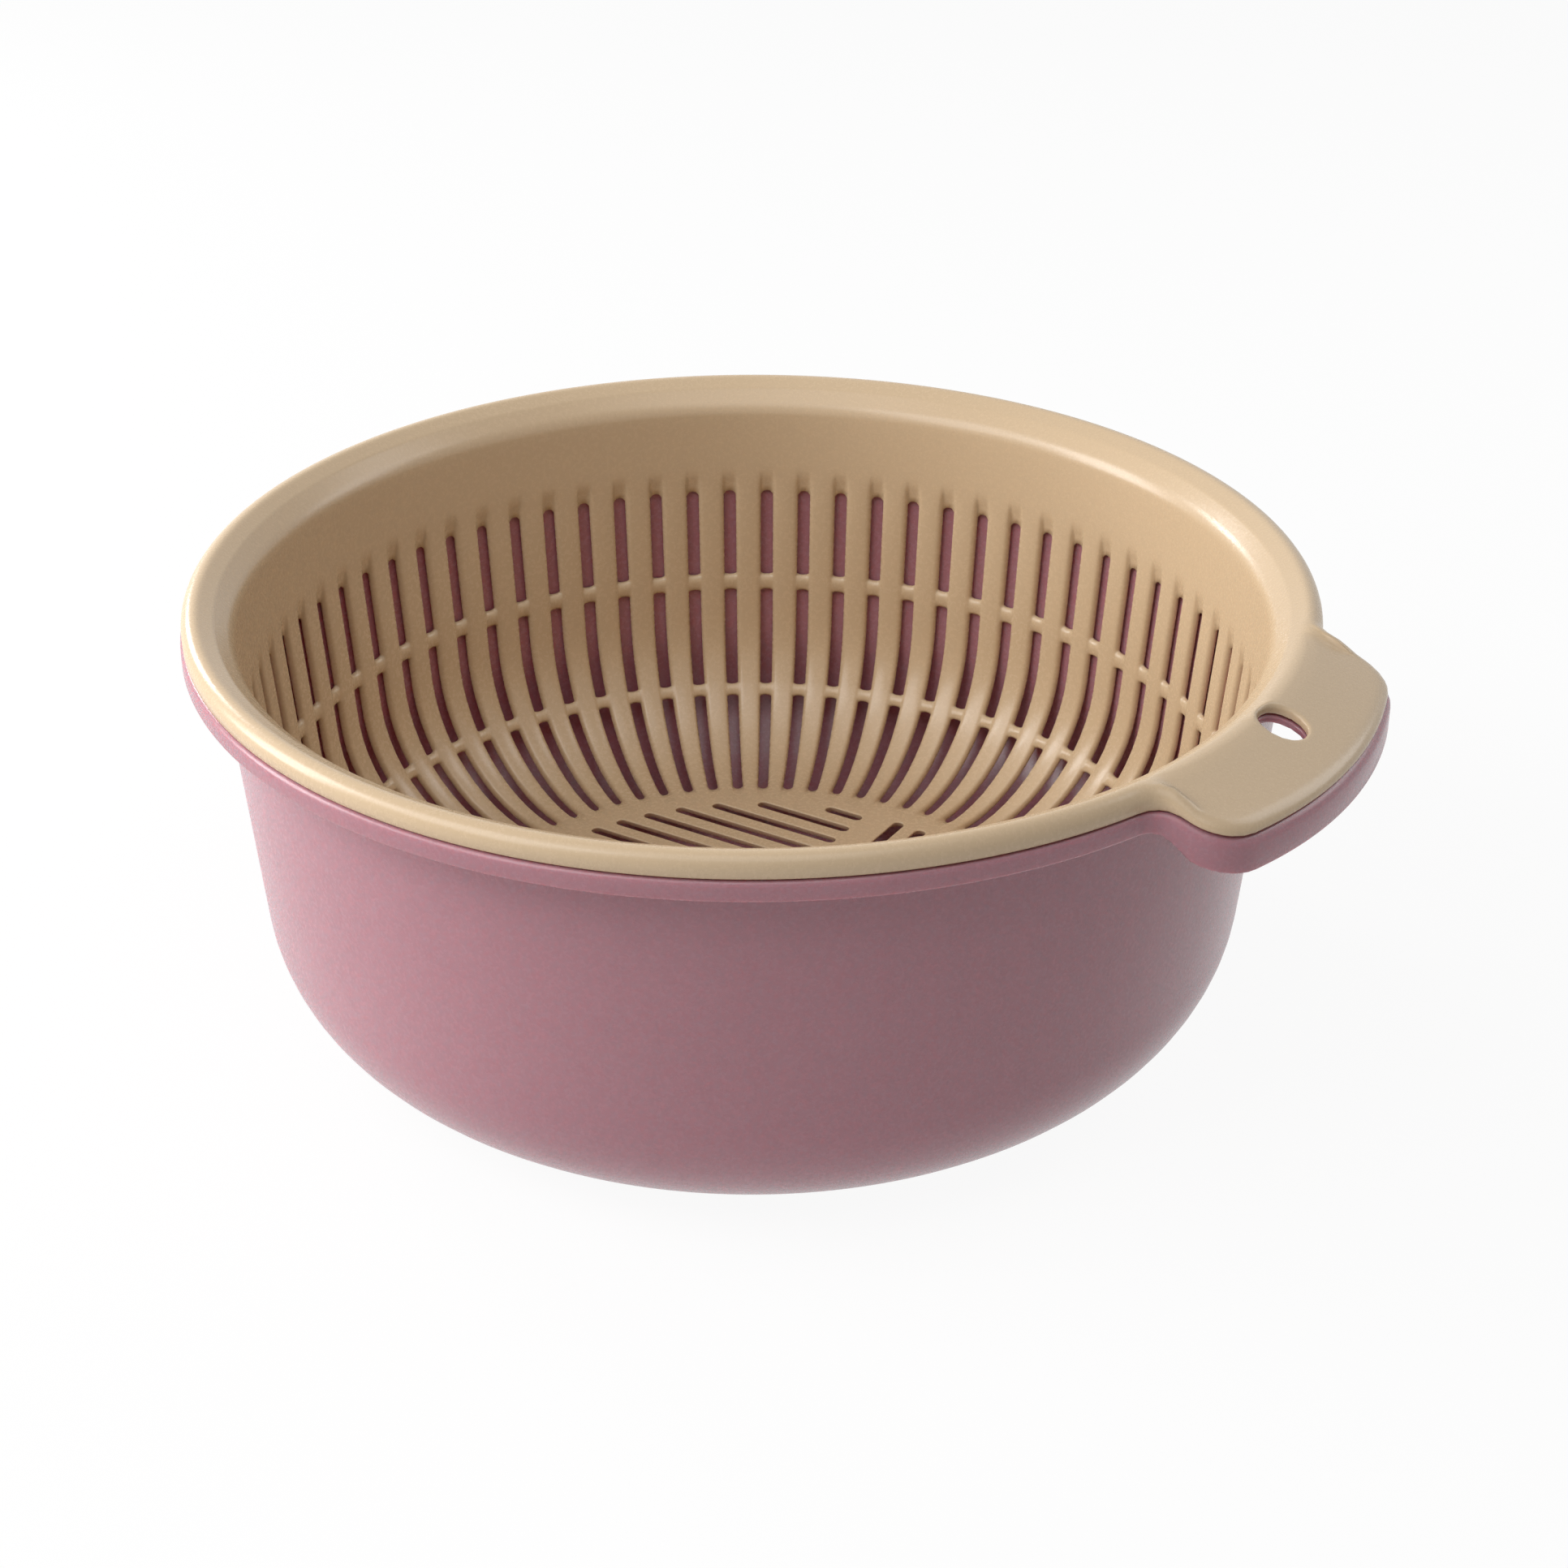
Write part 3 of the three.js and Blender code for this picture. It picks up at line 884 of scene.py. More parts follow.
@dataclass
class Basket:
    """Inner basket: bars and hoops in the wall, a pinwheel of slots in the floor, and a rolled rim."""

    finish: MouldedPlastic
    bowl: Bowl
    wall: float = 2.0
    corner_radius: float = 37.0
    nest_clearance: float = 0.5
    drain_space: float = 7.4
    rim_radius: float = 125.0
    rim_low: float = 99.3
    rim_height: float = 4.8
    roll_width: float = 2.9  # from the crest to the outer face
    roll_drop: float = 2.9
    roll_slope: float = 0.51  # roll's inner side
    roll_bend: float = 1.2
    crease_radius: float = 118.0  # faint line between the roll and the inner band
    crease_softness: float = 0.45
    band_slope: float = 0.9
    band_rounding: float = 5.4  # from the band to the inner face
    hollow_drop: float = 3.6  # rim's hollow under the crease, below the crest
    hollow_foot: float = 5.1
    skirt_rounding: float = 0.5
    slot_count: int = 74
    slot_phase_degrees: float = -1.7
    slot_width: float = 3.1
    slot_foot_width: float = 2.5
    slot_top_depth: float = 28.0
    slot_foot: float = 1.0
    slot_corner: float = 1.0  # rounding of the slots' upper corners
    slot_back_rounding: float = 0.3  # slots' edges on the outer face
    bevel_width: float = 1.3  # rounded inner edges of the bars
    bevel_foot_width: float = 0.95
    bevel_depth: float = 1.05
    bar_crown: float = 0.3  # fall that a bar's face would reach at the slot's middle
    groove_run: float = 5.5
    foot_run: float = 2.6
    hoop_depths: tuple[tuple[float, float], ...] = ((50.8, 54.8), (80.7, 83.7))
    hoop_recess: float = 0.3
    hoop_lean: float = 0.45  # more recess at a hoop's lower edge
    hoop_rounding: float = 0.95  # hoops' upper edges
    hoop_lower_rounding: float = 0.475
    hoop_corner: float = 0.35  # rounding of the slots' corners at the hoops
    corner_run: float = 1.0  # spread of a corner's bend along the slot
    lattice_depth: float = 19.0  # top of the slotted sheet
    flange_depth: float = 14.0  # foot of the rim's sheet
    flange_rows: tuple[float, float] = (0.6, 0.75)  # outer and inner row above it, as shares of its depth
    row_step: float = 5.5
    top_rows: int = 7  # above the slots
    edge_rows: tuple[float, float] = (0.5, 1.4)  # beside a window's end
    hoop_rows: tuple[float, ...] = (0.15, 0.5, 0.85)  # across a hoop
    slot_column: float = 0.55  # between a slot's middle and its edge
    bevel_columns: tuple[float, ...] = (0.2, 0.55, 1.0)  # from a slot's edge to the bar's face
    floor_field_radius: float = 65.8
    floor_pitch: float = 6.6
    floor_first: float = 2.8  # first slot's middle, off the floor's centre line
    floor_slot_width: float = 2.8
    floor_hub_half: float = 6.6
    floor_least: float = 6.0
    floor_rounding: float = 0.3
    floor_back_rounding: float = 0.3
    floor_flare: float = 1.0  # slots widen downwards by this much on each side
    floor_end_steps: int = 8
    floor_round_steps: tuple[int, int] = (3, 2)  # upper and lower edge
    tab_reach: float = 16.6
    tab_half_width: float = 42.0
    tab_edge_radius: float = 112.0
    tab_corner_radius: float = 11.0
    tab_root_radius: float = 5.0
    tab_slope: float = 0.33
    tab_thickness: float = 2.2
    tab_edge: float = 2.6  # rounding of the tab's upper edge, inwards
    tab_edge_drop: float = 1.6
    tab_edge_back: float = 0.45
    hole_centre: float = 126.5
    hole_radius: float = 5.2
    hole_rounding: float = 0.9
    hole_back: float = 0.4
    hole_collar: float = 1.5
    round_steps: int = 6
    skirt_steps: int = 3

    @property
    def crest(self) -> float:
        """Top of the rim."""
        return self.rim_low + self.rim_height

    @property
    def base(self) -> float:
        """Underside of the floor."""
        return self.bowl.wall + self.drain_space

    @property
    def line(self) -> WallLine:
        """Outer face in section, which follows the bowl's inner face at the nesting clearance.

        Returns:
            The face's line.
        """
        draft = self.bowl.draft
        gap = self.bowl.wall / math.cos(draft) + self.nest_clearance
        mouth = self.bowl.mouth_radius + (self.crest - self.bowl.height) * math.tan(draft) - gap
        return WallLine(mouth, self.crest, self.base, self.corner_radius, draft)

    @property
    def pitch(self) -> float:
        """Angle from slot to slot, in radians."""
        return 2 * math.pi / self.slot_count

    @property
    def foot_depth(self) -> float:
        """Depth of the slots' lower ends."""
        line = self.line
        turn = math.acos(self.slot_foot / self.corner_radius)
        return line.straight + self.corner_radius * (turn - line.draft)

    @property
    def windows(self) -> np.ndarray:
        """Depths between which the wall is open: from the slots' tops, past the hoops, to their feet."""
        edges = np.concatenate(([self.slot_top_depth], *self.hoop_depths, [self.foot_depth]))
        return edges.reshape(-1, 2)

    def depths(self) -> np.ndarray:
        """Rows of the slotted sheet: close together at each edge and hoop, and spaced out along the bars.

        Returns:
            Depths from the sheet's top down.
        """
        near = np.array(self.edge_rows)
        rows = [np.linspace(self.lattice_depth, self.slot_top_depth, self.top_rows)]
        for start, stop in self.windows:
            count = round((stop - start) / self.row_step)
            rows += [start + near, np.linspace(start, stop, count + 2), np.array([stop - near[0]])]
        for start, stop in self.hoop_depths:
            rows.append(start + (stop - start) * np.array(self.hoop_rows))
        flat = self.line.straight + self.line.bend
        rows.append(np.array([self.foot_depth + near[0], flat + near[0], flat + self.foot_run]))
        return np.unique(np.round(np.concatenate(rows), ROW_DECIMALS))

    def offsets(self, depths: np.ndarray) -> np.ndarray:
        """Columns of one pitch, as distances from the slot's middle.

        From the middle of one bar to the next: bar, bevel, slot edge, slot, slot edge and bevel. A
        slot narrows from its wall width to its foot width round the corner.

        Args:
            depths: Rows' depths.

        Returns:
            Rows by columns.
        """
        line = self.line
        narrow = ease(depths, line.straight, self.foot_depth)
        half = (self.slot_width + (self.slot_foot_width - self.slot_width) * narrow) / 2
        bevel = self.bevel_width + (self.bevel_foot_width - self.bevel_width) * narrow
        bar = self.reference(depths) * self.pitch / 2
        slot = np.outer(half, [self.slot_column, 1.0])
        side = np.concatenate((slot, half[:, None] + np.outer(bevel, self.bevel_columns)), axis=1)
        return np.concatenate((-bar[:, None], -side[:, ::-1], 0 * half[:, None], side), axis=1)

    def reference(self, depths: np.ndarray) -> np.ndarray:
        """Radius of the wall's middle, along which distances across the slots are measured."""
        return self.line.point(depths, self.wall / 2)[0]

    def lattice(self) -> tuple[np.ndarray, np.ndarray, np.ndarray]:
        """Inner and outer sheets of the slotted wall, and which of their cells are closed.

        Inner face: each slot lies in a valley whose sides round up to the bars, and which fades out
        above the slot's top and past its foot. A hoop's face leans back from its top edge, with both
        edges rounded, and where valley and hoop meet the prouder one shows. Outer face: plain, with
        the slots' edges rounded.

        Returns:
            Inner points, outer points and the closed cells.
        """
        depths = self.depths()
        offsets = self.offsets(depths)
        half = offsets[:, [Column.SLOT_END]]
        bevel = offsets[:, [Column.BEVEL_END]] - half
        distance = np.abs(offsets)
        outside = np.maximum(distance - half, 0)
        rise = 1 - np.clip(outside / bevel, 0, 1)
        valley = 1 - np.sqrt(1 - rise**2)
        run = ease(depths, self.slot_top_depth - self.groove_run, self.slot_top_depth)
        run = run * (1 - ease(depths, self.foot_depth, self.foot_depth + self.foot_run))
        crown = self.bar_crown * (1 - distance / distance[:, [Column.BAR]])
        sunk = run[:, None] * (self.bevel_depth * valley + crown)
        for start, stop in self.hoop_depths:
            inside = ((depths >= start) & (depths <= stop))[:, None]
            share = (depths - start) / (stop - start)
            face = self.hoop_recess + self.hoop_lean * share
            face = face + fillet(depths - start, self.hoop_rounding)
            face = face + fillet(stop - depths, self.hoop_lower_rounding)
            sunk = np.where(inside, np.minimum(sunk, face[:, None]), sunk)
        gaps = np.maximum(self.windows[:, 0] - depths[:, None], depths[:, None] - self.windows[:, 1])
        clear = np.maximum(gaps.min(axis=1), 0)[:, None]
        back = fillet(np.hypot(outside, clear), self.slot_back_rounding)
        warped = depths[:, None] + self.corner_shift(depths, distance / half, outside / bevel)
        angles = self.slot_angles()[:, None, None] + offsets / self.reference(depths)[:, None]
        inner = self.in_place(warped, self.wall - sunk, angles)
        outer = self.in_place(warped, back, angles)
        middle = (depths[1:] + depths[:-1]) / 2
        past_top, before_foot = middle[:, None] > self.windows[:, 0], middle[:, None] < self.windows[:, 1]
        in_window = (past_top & before_foot).any(axis=1)
        column = np.arange(offsets.shape[1])
        closed = ~(in_window[:, None] & (column >= Column.SLOT_START) & (column < Column.SLOT_END))
        return inner, outer, np.tile(closed, (1, self.slot_count))

    def corner_shift(
        self, depths: np.ndarray, across_slot: np.ndarray, across_bevel: np.ndarray
    ) -> np.ndarray:
        """How far rows near a window's ends bend into it, which rounds the window's corners.

        The bend is a quarter circle across the slot, dies away over the bevel, and falls off with
        the distance from the end as a bell curve.

        Args:
            depths: Rows' depths.
            across_slot: Distances from the slot's middle over its half width.
            across_bevel: Distances past the slot's edge over the bevel's width.

        Returns:
            Shift in depth of each row and column.
        """
        in_slot = 1 - np.sqrt(1 - np.minimum(across_slot, 1) ** 2)
        in_bevel = (1 - np.minimum(across_bevel, 1)) ** 2
        bow = np.where(across_slot <= 1, in_slot, in_bevel)
        top, foot = self.windows[0, 0], self.windows[-1, 1]
        shift = np.zeros_like(depths)
        for start, stop in self.windows:
            at_top = self.slot_corner if start == top else self.hoop_corner
            at_foot = self.slot_corner if stop == foot else self.hoop_corner
            shift += at_top * np.exp(-(((depths - start) / self.corner_run) ** 2))
            shift -= at_foot * np.exp(-(((depths - stop) / self.corner_run) ** 2))
        return shift[:, None] * bow

    def slot_angles(self) -> np.ndarray:
        """Angles of the slots' middles, from -180 degrees round."""
        first = math.radians(self.slot_phase_degrees) - self.pitch * (self.slot_count // 2)
        return first + self.pitch * np.arange(self.slot_count)

    def in_place(self, depths: np.ndarray, insets: np.ndarray, angles: np.ndarray) -> np.ndarray:
        """Points of a slotted sheet: a wall point at each depth and inset, turned to its angle.

        Args:
            depths: Rows by columns of one pitch.
            insets: Rows by columns of one pitch.
            angles: Slots by rows by columns.

        Returns:
            Rows by all columns by 3.
        """
        radius, height = self.line.point(depths, insets)
        points = np.stack((radius * np.cos(angles), radius * np.sin(angles), height + 0 * angles), axis=-1)
        return np.swapaxes(points, 0, 1).reshape(len(depths), -1, 3)

    def add_lattice(self, shell: Shell) -> tuple[np.ndarray, np.ndarray]:
        """Adds both sheets of the slotted wall, and the slots' sides between them.

        Args:
            shell: Moulding that takes them.

        Returns:
            Inner and outer points.
        """
        inner, outer, closed = self.lattice()
        shell.sheet(inner, closed)
        shell.sheet(outer, closed, flip=True)
        rows, columns = inner.shape[:2]
        both = np.concatenate((inner.reshape(-1, 3), outer.reshape(-1, 3)))
        number = np.arange(rows * columns).reshape(rows, columns)
        behind = number + rows * columns
        before = np.roll(closed, 1, axis=1)
        for edge, turned in ((before & ~closed, False), (~before & closed, True)):
            row, column = np.nonzero(edge)
            below = row + 1
            wall = (number[row, column], behind[row, column], behind[below, column], number[below, column])
            shell.patch(both, np.stack(wall[::-1] if turned else wall, axis=-1))
        for edge, turned in ((closed[:-1] & ~closed[1:], False), (~closed[:-1] & closed[1:], True)):
            row, column = np.nonzero(edge)
            row = row + 1
            right = (column + 1) % columns
            wall = (number[row, column], number[row, right], behind[row, right], behind[row, column])
            shell.patch(both, np.stack(wall[::-1] if turned else wall, axis=-1))
        return inner, outer

    def flange(self) -> Flange:
        """Rim and tab."""
        return Flange(
            plan=TabPlan(
                self.rim_radius,
                self.tab_reach,
                self.tab_half_width,
                self.tab_edge_radius,
                self.tab_corner_radius,
                self.tab_root_radius,
            ),
            inner_start=self.rim_radius - self.roll_width,
            inner_slope=self.roll_slope,
            inner_bend=self.roll_bend,
            outer_slope=self.tab_slope,
            hole_centre=self.hole_centre,
            hole_radius=self.hole_radius,
            hole_rounding=self.hole_rounding,
            hole_back=self.hole_back,
            hole_collar=self.hole_collar,
        )

    def band(self, crease: np.ndarray) -> np.ndarray:
        """Section of the inner band: straight down from the crease, then an arc that ends along the wall.

        The arc's centre lies a rounding's length inside both the band's line and the wall's.

        Args:
            crease: Radius and height of the crease.

        Returns:
            Section points from the crease down.
        """
        lean = math.atan(self.band_slope)
        turns = np.array([math.pi / 2 + lean, math.pi - self.line.draft])
        normals = np.column_stack((np.cos(turns), np.sin(turns)))
        wall = np.array(self.line.point(0, self.wall))
        sides = np.array([normals[0] @ crease, normals[1] @ wall]) - self.band_rounding
        centre = np.linalg.solve(normals, sides)
        size = (self.band_rounding, self.band_rounding)
        soft = crease - self.crease_softness * np.array([math.cos(lean), math.sin(lean)])
        return np.concatenate(
            ([crease, soft], arc(tuple(centre), size, tuple(np.degrees(turns)), self.round_steps))
        )

    def section(self, tab: bool) -> tuple[np.ndarray, np.ndarray, np.ndarray]:
        """Rows of the rim's section, or of the tab's: up the outer face, round the edge, in and down.

        Args:
            tab: Whether the section is the tab's.

        Returns:
            Rows, and the numbers of those that span the hang hole above and below, from outside in.
        """
        flange = self.flange()
        crest, soft, base = self.crest, self.skirt_rounding, self.crease_radius
        steps, (outer_row, inner_row) = self.skirt_steps, self.flange_rows
        depths = np.array([self.flange_depth, self.flange_depth * outer_row, self.hollow_foot])
        outer_wall = np.concatenate((self.line.line(depths, 0), [[base, crest - self.hollow_drop]]))
        if tab:
            edge, drop, back = self.tab_edge, self.tab_edge_drop, self.tab_edge_back
            lower_edge, ceiling = edge, crest - self.tab_thickness
            level = np.column_stack((np.linspace(edge, 2 * back, steps + 1), np.full(steps + 1, ceiling)))
            skirt = np.concatenate((level, arc((back, ceiling + back), (-back, -back), (90, 0), steps)[:-1]))
            shares = flange.shares(base, edge)
        else:
            edge, drop = self.roll_width, self.roll_drop
            lower_edge, ceiling = self.wall, crest - self.wall
            inside = arc((self.wall - soft, self.rim_low + soft), (soft, -soft), (0, 90), steps - 1)
            outside = arc((soft, self.rim_low + soft), (-soft, -soft), (90, 0), steps)[:-1]
            skirt = np.concatenate(([[self.wall, crest - drop]], inside, outside))
            shares = np.linspace(0, 1, len(flange.rows) + 2)[1:-1]
        crease = np.array([base, crest - float(flange.inner_fall(base))])
        parts = (
            radial(outer_wall),
            across(base, lower_edge, shares, ceiling, flange.under_share),
            along_edge(skirt),
            along_edge(arc((edge, crest - drop), (-edge, drop), (0, 90), self.round_steps)),
            across(base, edge, shares[::-1], crest, 1.0),
            radial(self.band(crease)),
            radial(self.line.line(np.array([self.flange_depth * inner_row, self.flange_depth]), self.wall)),
        )
        starts = np.cumsum([0] + [len(part) for part in parts])
        return np.concatenate(parts), *flange.spans(int(starts[4]), int(starts[1]))

    def add_rim(self, shell: Shell, inner: np.ndarray, outer: np.ndarray) -> None:
        """Adds the rim and tab, and the strips that join them to the slotted wall.

        The rim has only some of the wall's columns, so a strip's faces have several of the wall's
        points along one side.

        Args:
            shell: Moulding that takes them.
            inner: Inner points of the slotted wall.
            outer: Its outer points.
        """
        kept = tuple(int(column) for column in Column)
        top_depth = np.array([self.lattice_depth])
        offsets = self.offsets(top_depth)[0] / self.reference(top_depth)[0]
        angles = (self.slot_angles()[:, None] + offsets[list(kept)]).ravel()
        rim_rows, top, under = self.section(tab=False)
        tab_rows, _, _ = self.section(tab=True)
        flange = self.flange()
        points = flange.sheet(angles, rim_rows, tab_rows)
        flange.add(shell, angles, points, top, under)
        width = len(offsets)
        slots = np.arange(self.slot_count)
        for rim, wall, flip in ((points[-1], inner[0], False), (points[0], outer[0], True)):
            both = np.concatenate((rim, wall))
            for place, (start, stop) in enumerate(zip(kept, kept[1:] + (width,))):
                above = (slots[:, None] * len(kept) + [place, place + 1]) % len(rim)
                below = (slots[:, None] * width + np.arange(stop, start - 1, -1)) % len(wall)
                faces = np.concatenate((above, below + len(rim)), axis=1)
                shell.patch(both, faces[:, ::-1] if flip else faces)

    def floor_lines(self) -> np.ndarray:
        """Middle lines of the floor's slots, as a pinwheel of four fields in a circle.

        In one quarter the slots run along X, a pitch apart, from the hub to the field's circle. The
        other quarters are the same, each turned a quarter back.

        Returns:
            Slots by two ends by 2.
        """
        y = np.arange(self.floor_first, self.floor_field_radius, self.floor_pitch)
        edge = np.abs(y) + self.floor_slot_width / 2
        far = np.sqrt(np.maximum(0, self.floor_field_radius**2 - edge**2))
        long_enough = far - self.floor_hub_half > self.floor_least
        y, far = y[long_enough], far[long_enough]
        half = self.floor_slot_width / 2
        near = np.full_like(far, self.floor_hub_half)
        lines = np.stack((np.stack((half - far, y), axis=1), np.stack((-half - near, y), axis=1)), axis=1)
        quarters = [lines]
        for _ in range(3):
            last = quarters[-1]
            quarters.append(np.stack((last[..., 1], -last[..., 0]), axis=-1))
        return np.concatenate(quarters)

    def add_floor(self, shell: Shell, inner: np.ndarray, outer: np.ndarray) -> None:
        """Adds the floor: slots with rounded edges, and flat faces between them above and below.

        A slot's outline is two half circles about the ends of its line. Its rings run over the upper
        edge, widen downwards, and round out below.

        Args:
            shell: Moulding that takes the floor.
            inner: Inner points of the slotted wall, whose last row is the floor's upper edge.
            outer: Its outer points, whose last row is the lower edge.
        """
        lines = self.floor_lines()
        along = lines[:, 1] - lines[:, 0]
        heading = np.arctan2(along[:, 1], along[:, 0])
        bend = np.radians(np.linspace(-90, 90, self.floor_end_steps + 1))
        turn = heading[:, None, None] + np.stack((bend, bend + math.pi))
        circle = np.stack((np.cos(turn), np.sin(turn)), axis=-1)
        big, small, thick = self.floor_rounding, self.floor_back_rounding, self.wall
        flare = self.floor_flare
        collar = np.array([[big + small, 0.0]])
        section = np.concatenate(
            (
                collar,
                arc((big, -big), (big, big), (90, 180), self.floor_round_steps[0]),
                arc((small + flare, small - thick), (small, small), (180, 270), self.floor_round_steps[1]),
                collar + [[flare, -thick]],
            )
        )
        half = self.floor_slot_width / 2
        ends = lines[:, ::-1, None, :]
        size = (half + section[:, 0])[:, None, None, None, None]
        flat = (ends + size * circle).reshape(len(section), len(lines), -1, 2)
        rise = self.base + self.wall + section[:, 1]
        level = np.broadcast_to(rise[:, None, None, None], flat.shape[:3] + (1,))
        rings = np.concatenate((flat, level), axis=3)
        for slot in range(len(lines)):
            shell.sheet(rings[:, slot])
        for loops, rim, flip in ((rings[0], inner[-1], False), (rings[-1], outer[-1], True)):
            points, corners = fill_between(rim, loops)
            shell.patch(points, corners[:, ::-1] if flip else corners)

    def build(self) -> bpy.types.Object:
        """Joins the slotted wall, the rim with its tab, and the floor.

        Returns:
            The basket's piece.
        """
        shell = Shell("basket_shell")
        inner, outer = self.add_lattice(shell)
        self.add_rim(shell, inner, outer)
        self.add_floor(shell, inner, outer)
        return shell.build(self.finish)

    def dress(self) -> bpy.types.Object:
        """Builds the basket and sets it on its body.

        Returns:
            The basket's piece.
        """
        piece = self.build()
        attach(piece, Body.BASKET.value)
        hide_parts(Node.BASKET.value)
        return piece


@dataclass(frozen=True)
class PhotoCamera:
    """The photograph's viewpoint, found by fitting the rim, base and slots of the set to it."""

    azimuth: float = -58.2  # degrees round the axis from the tabs
    distance: float = 625.4  # from the axis, along the floor
    height: float = 392.8
    pitch: float = 28.61  # degrees down
    yaw: float = 0.645  # degrees to the right of the axis
    roll: float = 0.172
    focal_pixels: float = 3828.0
    image_pixels: float = 1932.0
    sensor: float = 36.0  # millimetres
    near_clip: float = 0.01  # metres

    def build(self) -> bpy.types.Object:
        """Makes the camera the scene's own.

        Returns:
            The camera.
        """
        data = bpy.data.cameras.new("photo_camera")
        data.sensor_fit = "HORIZONTAL"
        data.sensor_width = self.sensor
        data.lens = self.sensor * self.focal_pixels / self.image_pixels
        data.dof.use_dof = False
        data.clip_start = self.near_clip
        camera = bpy.data.objects.new("photo_camera", data)
        around, heading = math.radians(self.azimuth), math.radians(self.azimuth + 180 - self.yaw)
        down, lean = math.radians(self.pitch), math.radians(self.roll)
        level = math.cos(down)
        forward = Vector((math.cos(heading) * level, math.sin(heading) * level, -math.sin(down)))
        flat_right = Vector((math.sin(heading), -math.cos(heading), 0))
        flat_up = flat_right.cross(forward)
        right = flat_right * math.cos(lean) + flat_up * math.sin(lean)
        up = flat_up * math.cos(lean) - flat_right * math.sin(lean)
        turned = Matrix((right, up, -forward)).transposed().to_4x4()
        eye = Vector((math.cos(around) * self.distance, math.sin(around) * self.distance, self.height)) * MM
        camera.matrix_world = Matrix.Translation(eye) @ turned
        bpy.context.scene.collection.objects.link(camera)
        bpy.context.scene.camera = camera
        return camera


@dataclass(frozen=True)
class Softbox:
    """A rectangular studio lamp that faces the set."""

    name: str
    azimuth: float  # degrees to the left of the camera, round the axis
    elevation: float  # degrees above the floor
    width: float  # metres
    length: float  # metres
    power: float  # watts
    distance: float = 1.1  # metres from the set's middle

    def build(self, camera_azimuth: float, target: Vector) -> bpy.types.Object:
        """Hangs the lamp.

        Args:
            camera_azimuth: Camera's place round the axis, in degrees.
            target: Point that the lamp faces.

        Returns:
            The lamp.
        """
        data = bpy.data.lights.new(self.name, "AREA")
        data.shape = "RECTANGLE"
        data.size = self.width
        data.size_y = self.length
        data.energy = self.power
        lamp = bpy.data.objects.new(self.name, data)
        around, rise = math.radians(camera_azimuth - self.azimuth), math.radians(self.elevation)
        back = Vector((math.cos(around) * math.cos(rise), math.sin(around) * math.cos(rise), math.sin(rise)))
        lamp.location = target + back * self.distance
        lamp.rotation_euler = back.to_track_quat("Z", "Y").to_euler()
        bpy.context.scene.collection.objects.link(lamp)
        return lamp


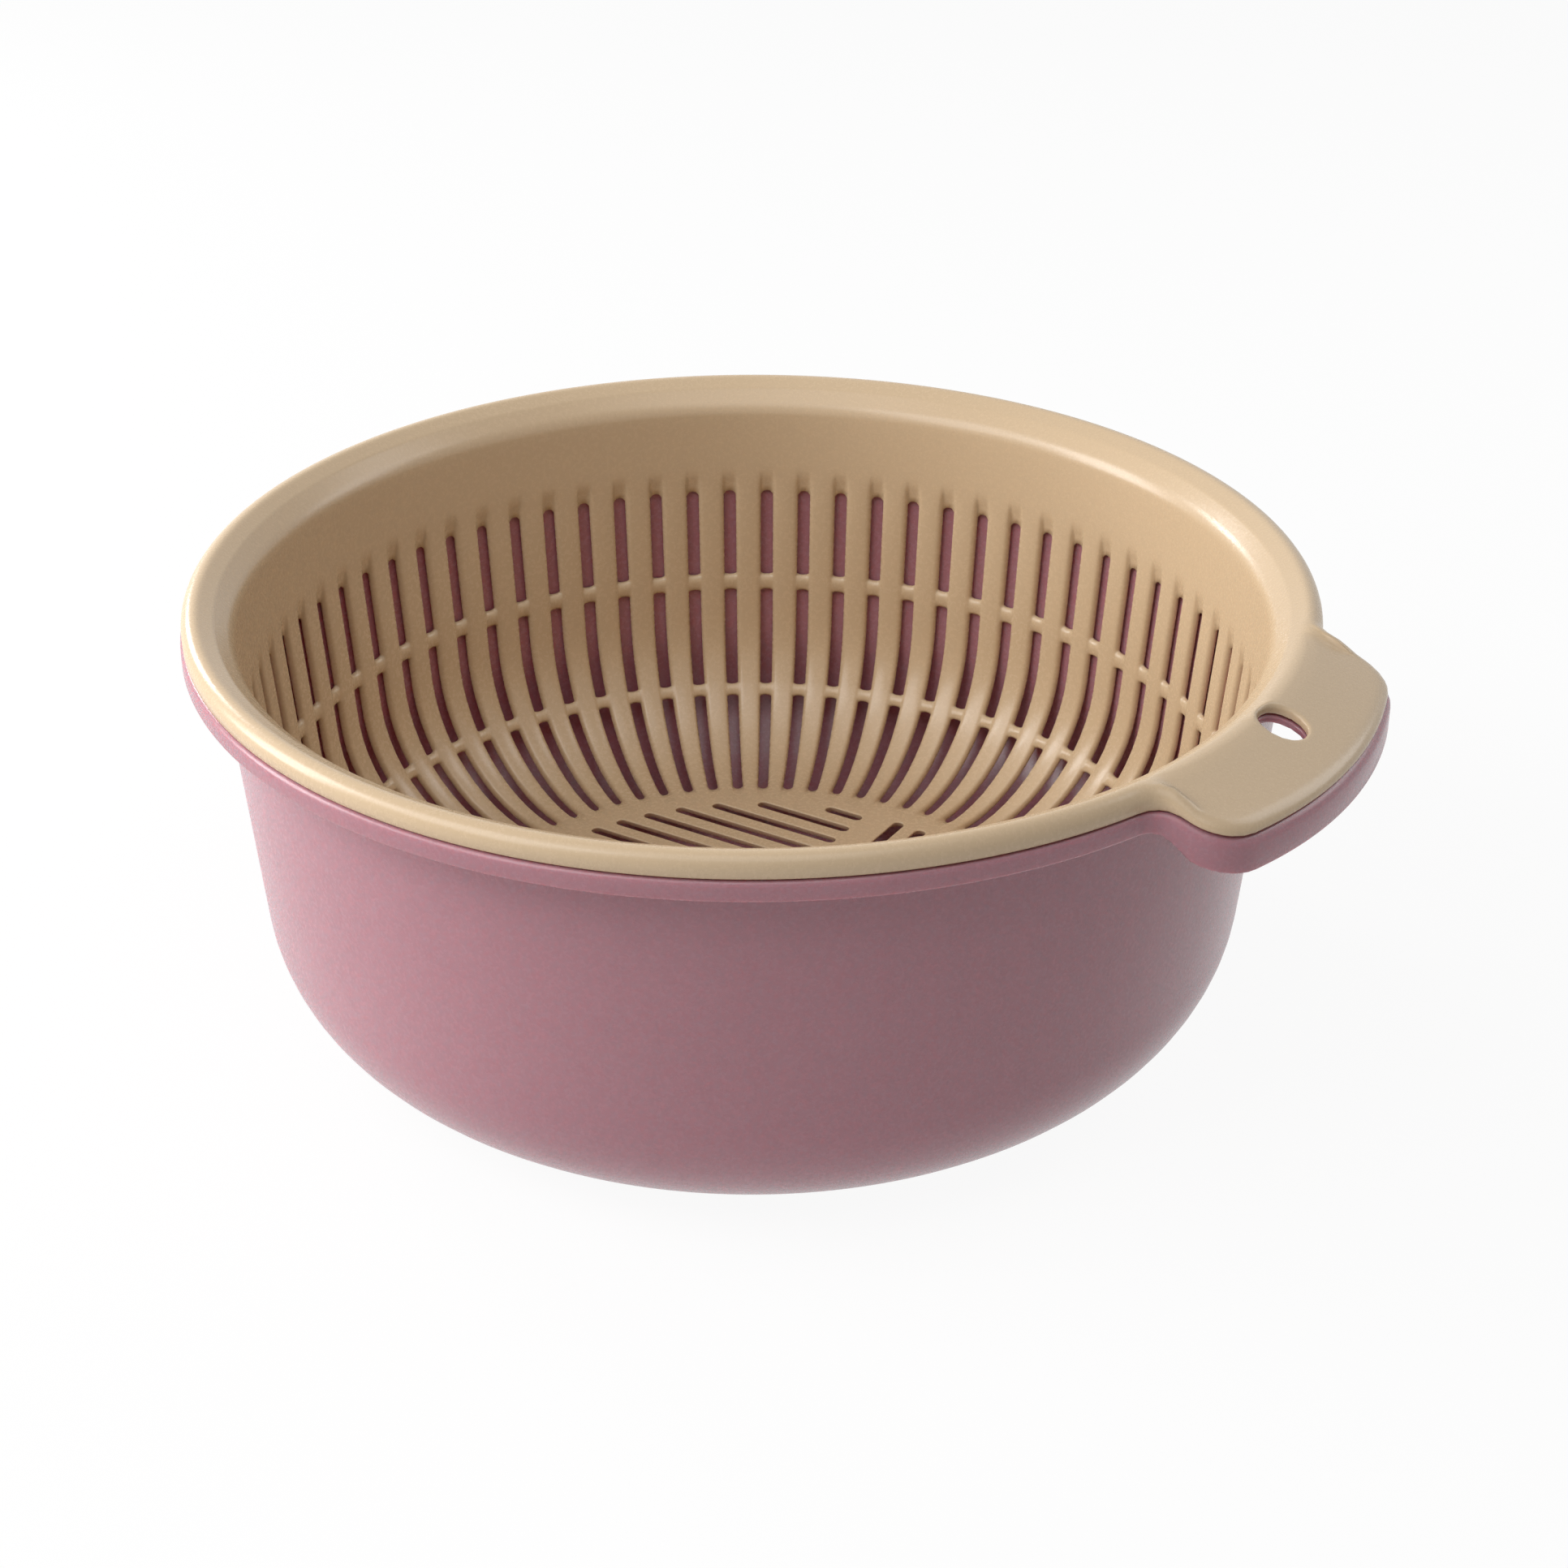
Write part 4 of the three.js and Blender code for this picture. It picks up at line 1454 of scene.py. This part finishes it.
@dataclass(frozen=True)
class Studio:
    """A white sweep and soft lamps."""

    floor_half: float = 6.0  # metres
    floor_gap: float = 0.0002  # metres under the set
    floor_tone: str = "#EDEDED"
    floor_glow: float = 0.93  # share of the floor's white that doesn't take shadow
    sky_strength: float = 0.13
    softboxes: tuple[Softbox, ...] = (
        Softbox("low_left_softbox", azimuth=95.0, elevation=22.0, width=0.5, length=0.7, power=9.0),
        Softbox("back_softbox", azimuth=138.0, elevation=22.0, width=0.22, length=0.3, power=3.4),
        Softbox("top_softbox", azimuth=10.0, elevation=66.0, width=0.9, length=0.9, power=3.2, distance=1.2),
        Softbox("right_softbox", azimuth=-110.0, elevation=35.0, width=0.5, length=0.7, power=2.7),
        Softbox("front_left_softbox", azimuth=58.0, elevation=40.0, width=0.7, length=0.7, power=5.2),
    )

    def seen(self, tree: bpy.types.NodeTree) -> bpy.types.NodeSocket:
        """Is 1 for the rays that show the background: from the camera, a gloss or a clear surface.

        Args:
            tree: Node tree that takes the test.

        Returns:
            Output socket of the test.
        """
        path = add_node(tree, "ShaderNodeLightPath", {}, {})
        either = {"operation": "MAXIMUM"}
        seen = path.outputs["Is Camera Ray"]
        for ray in ("Is Glossy Ray", "Is Transmission Ray"):
            seen = add_node(tree, "ShaderNodeMath", either, {0: seen, 1: path.outputs[ray]}).outputs[0]
        return seen

    def sky(self) -> None:
        """White surroundings, dimmer as light than they look."""
        world = bpy.data.worlds.new("white_studio")
        bpy.context.scene.world = world
        world.use_nodes = True
        tree = world.node_tree
        tree.nodes.clear()
        light = add_node(tree, "ShaderNodeBackground", {}, {"Color": WHITE, "Strength": self.sky_strength})
        shown = add_node(tree, "ShaderNodeBackground", {}, {"Color": WHITE, "Strength": 1.0})
        mixed = add_node(
            tree, "ShaderNodeMixShader", {}, {0: self.seen(tree), 1: light.outputs[0], 2: shown.outputs[0]}
        )
        add_node(tree, "ShaderNodeOutputWorld", {}, {"Surface": mixed.outputs[0]})

    def floor(self, level: float) -> bpy.types.Object:
        """Pale floor that shows white and keeps the set's shadow.

        Args:
            level: Height that the set stands at.

        Returns:
            The floor.
        """
        side = self.floor_half
        corners = np.array([(-side, -side), (side, -side), (side, side), (-side, side)])
        points = np.column_stack((corners, np.full(len(corners), level - self.floor_gap)))
        mesh = bpy.data.meshes.new("studio_floor")
        mesh.from_pydata(points.tolist(), [], [(0, 1, 2, 3)])
        made = bpy.data.materials.new("white_paper_sweep")
        made.use_nodes = True
        tree = made.node_tree
        tree.nodes.clear()
        paper = add_node(tree, "ShaderNodeBsdfDiffuse", {}, {"Color": linear(self.floor_tone)})
        glow = add_node(tree, "ShaderNodeEmission", {}, {"Color": WHITE, "Strength": 1.0})
        share = add_node(
            tree, "ShaderNodeMath", {"operation": "MULTIPLY"}, {0: self.seen(tree), 1: self.floor_glow}
        )
        mixed = add_node(
            tree, "ShaderNodeMixShader", {}, {0: share.outputs[0], 1: paper.outputs[0], 2: glow.outputs[0]}
        )
        add_node(tree, "ShaderNodeOutputMaterial", {}, {"Surface": mixed.outputs[0]})
        mesh.materials.append(made)
        ground = bpy.data.objects.new("studio_floor", mesh)
        bpy.context.scene.collection.objects.link(ground)
        return ground

    def build(self, camera: PhotoCamera) -> None:
        """Sets up sky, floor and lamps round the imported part's box.

        Args:
            camera: Viewpoint that the lamps' places are counted from.
        """
        low, high = cad_box
        self.sky()
        self.floor(low.z)
        target = Vector((0, 0, (low.z + high.z) / 2))
        for softbox in self.softboxes:
            softbox.build(camera.azimuth, target)
        bpy.context.scene.view_settings.view_transform = "Standard"


BEIGE = MouldedPlastic("moulded_polypropylene_beige", tone="#CFB695", cloud="#CAB08E")
MAUVE = MouldedPlastic("moulded_polypropylene_mauve", tone="#AE7C86", cloud="#AA7782", translucence=0.55)


def main() -> None:
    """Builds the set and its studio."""
    logging.basicConfig(level=logging.INFO, format="%(name)s: %(message)s")
    camera = PhotoCamera()
    camera.build()
    Studio().build(camera)
    bowl = Bowl(MAUVE)
    for piece in (bowl.dress(), Basket(BEIGE, bowl).dress()):
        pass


if __name__ == "__main__":
    main()
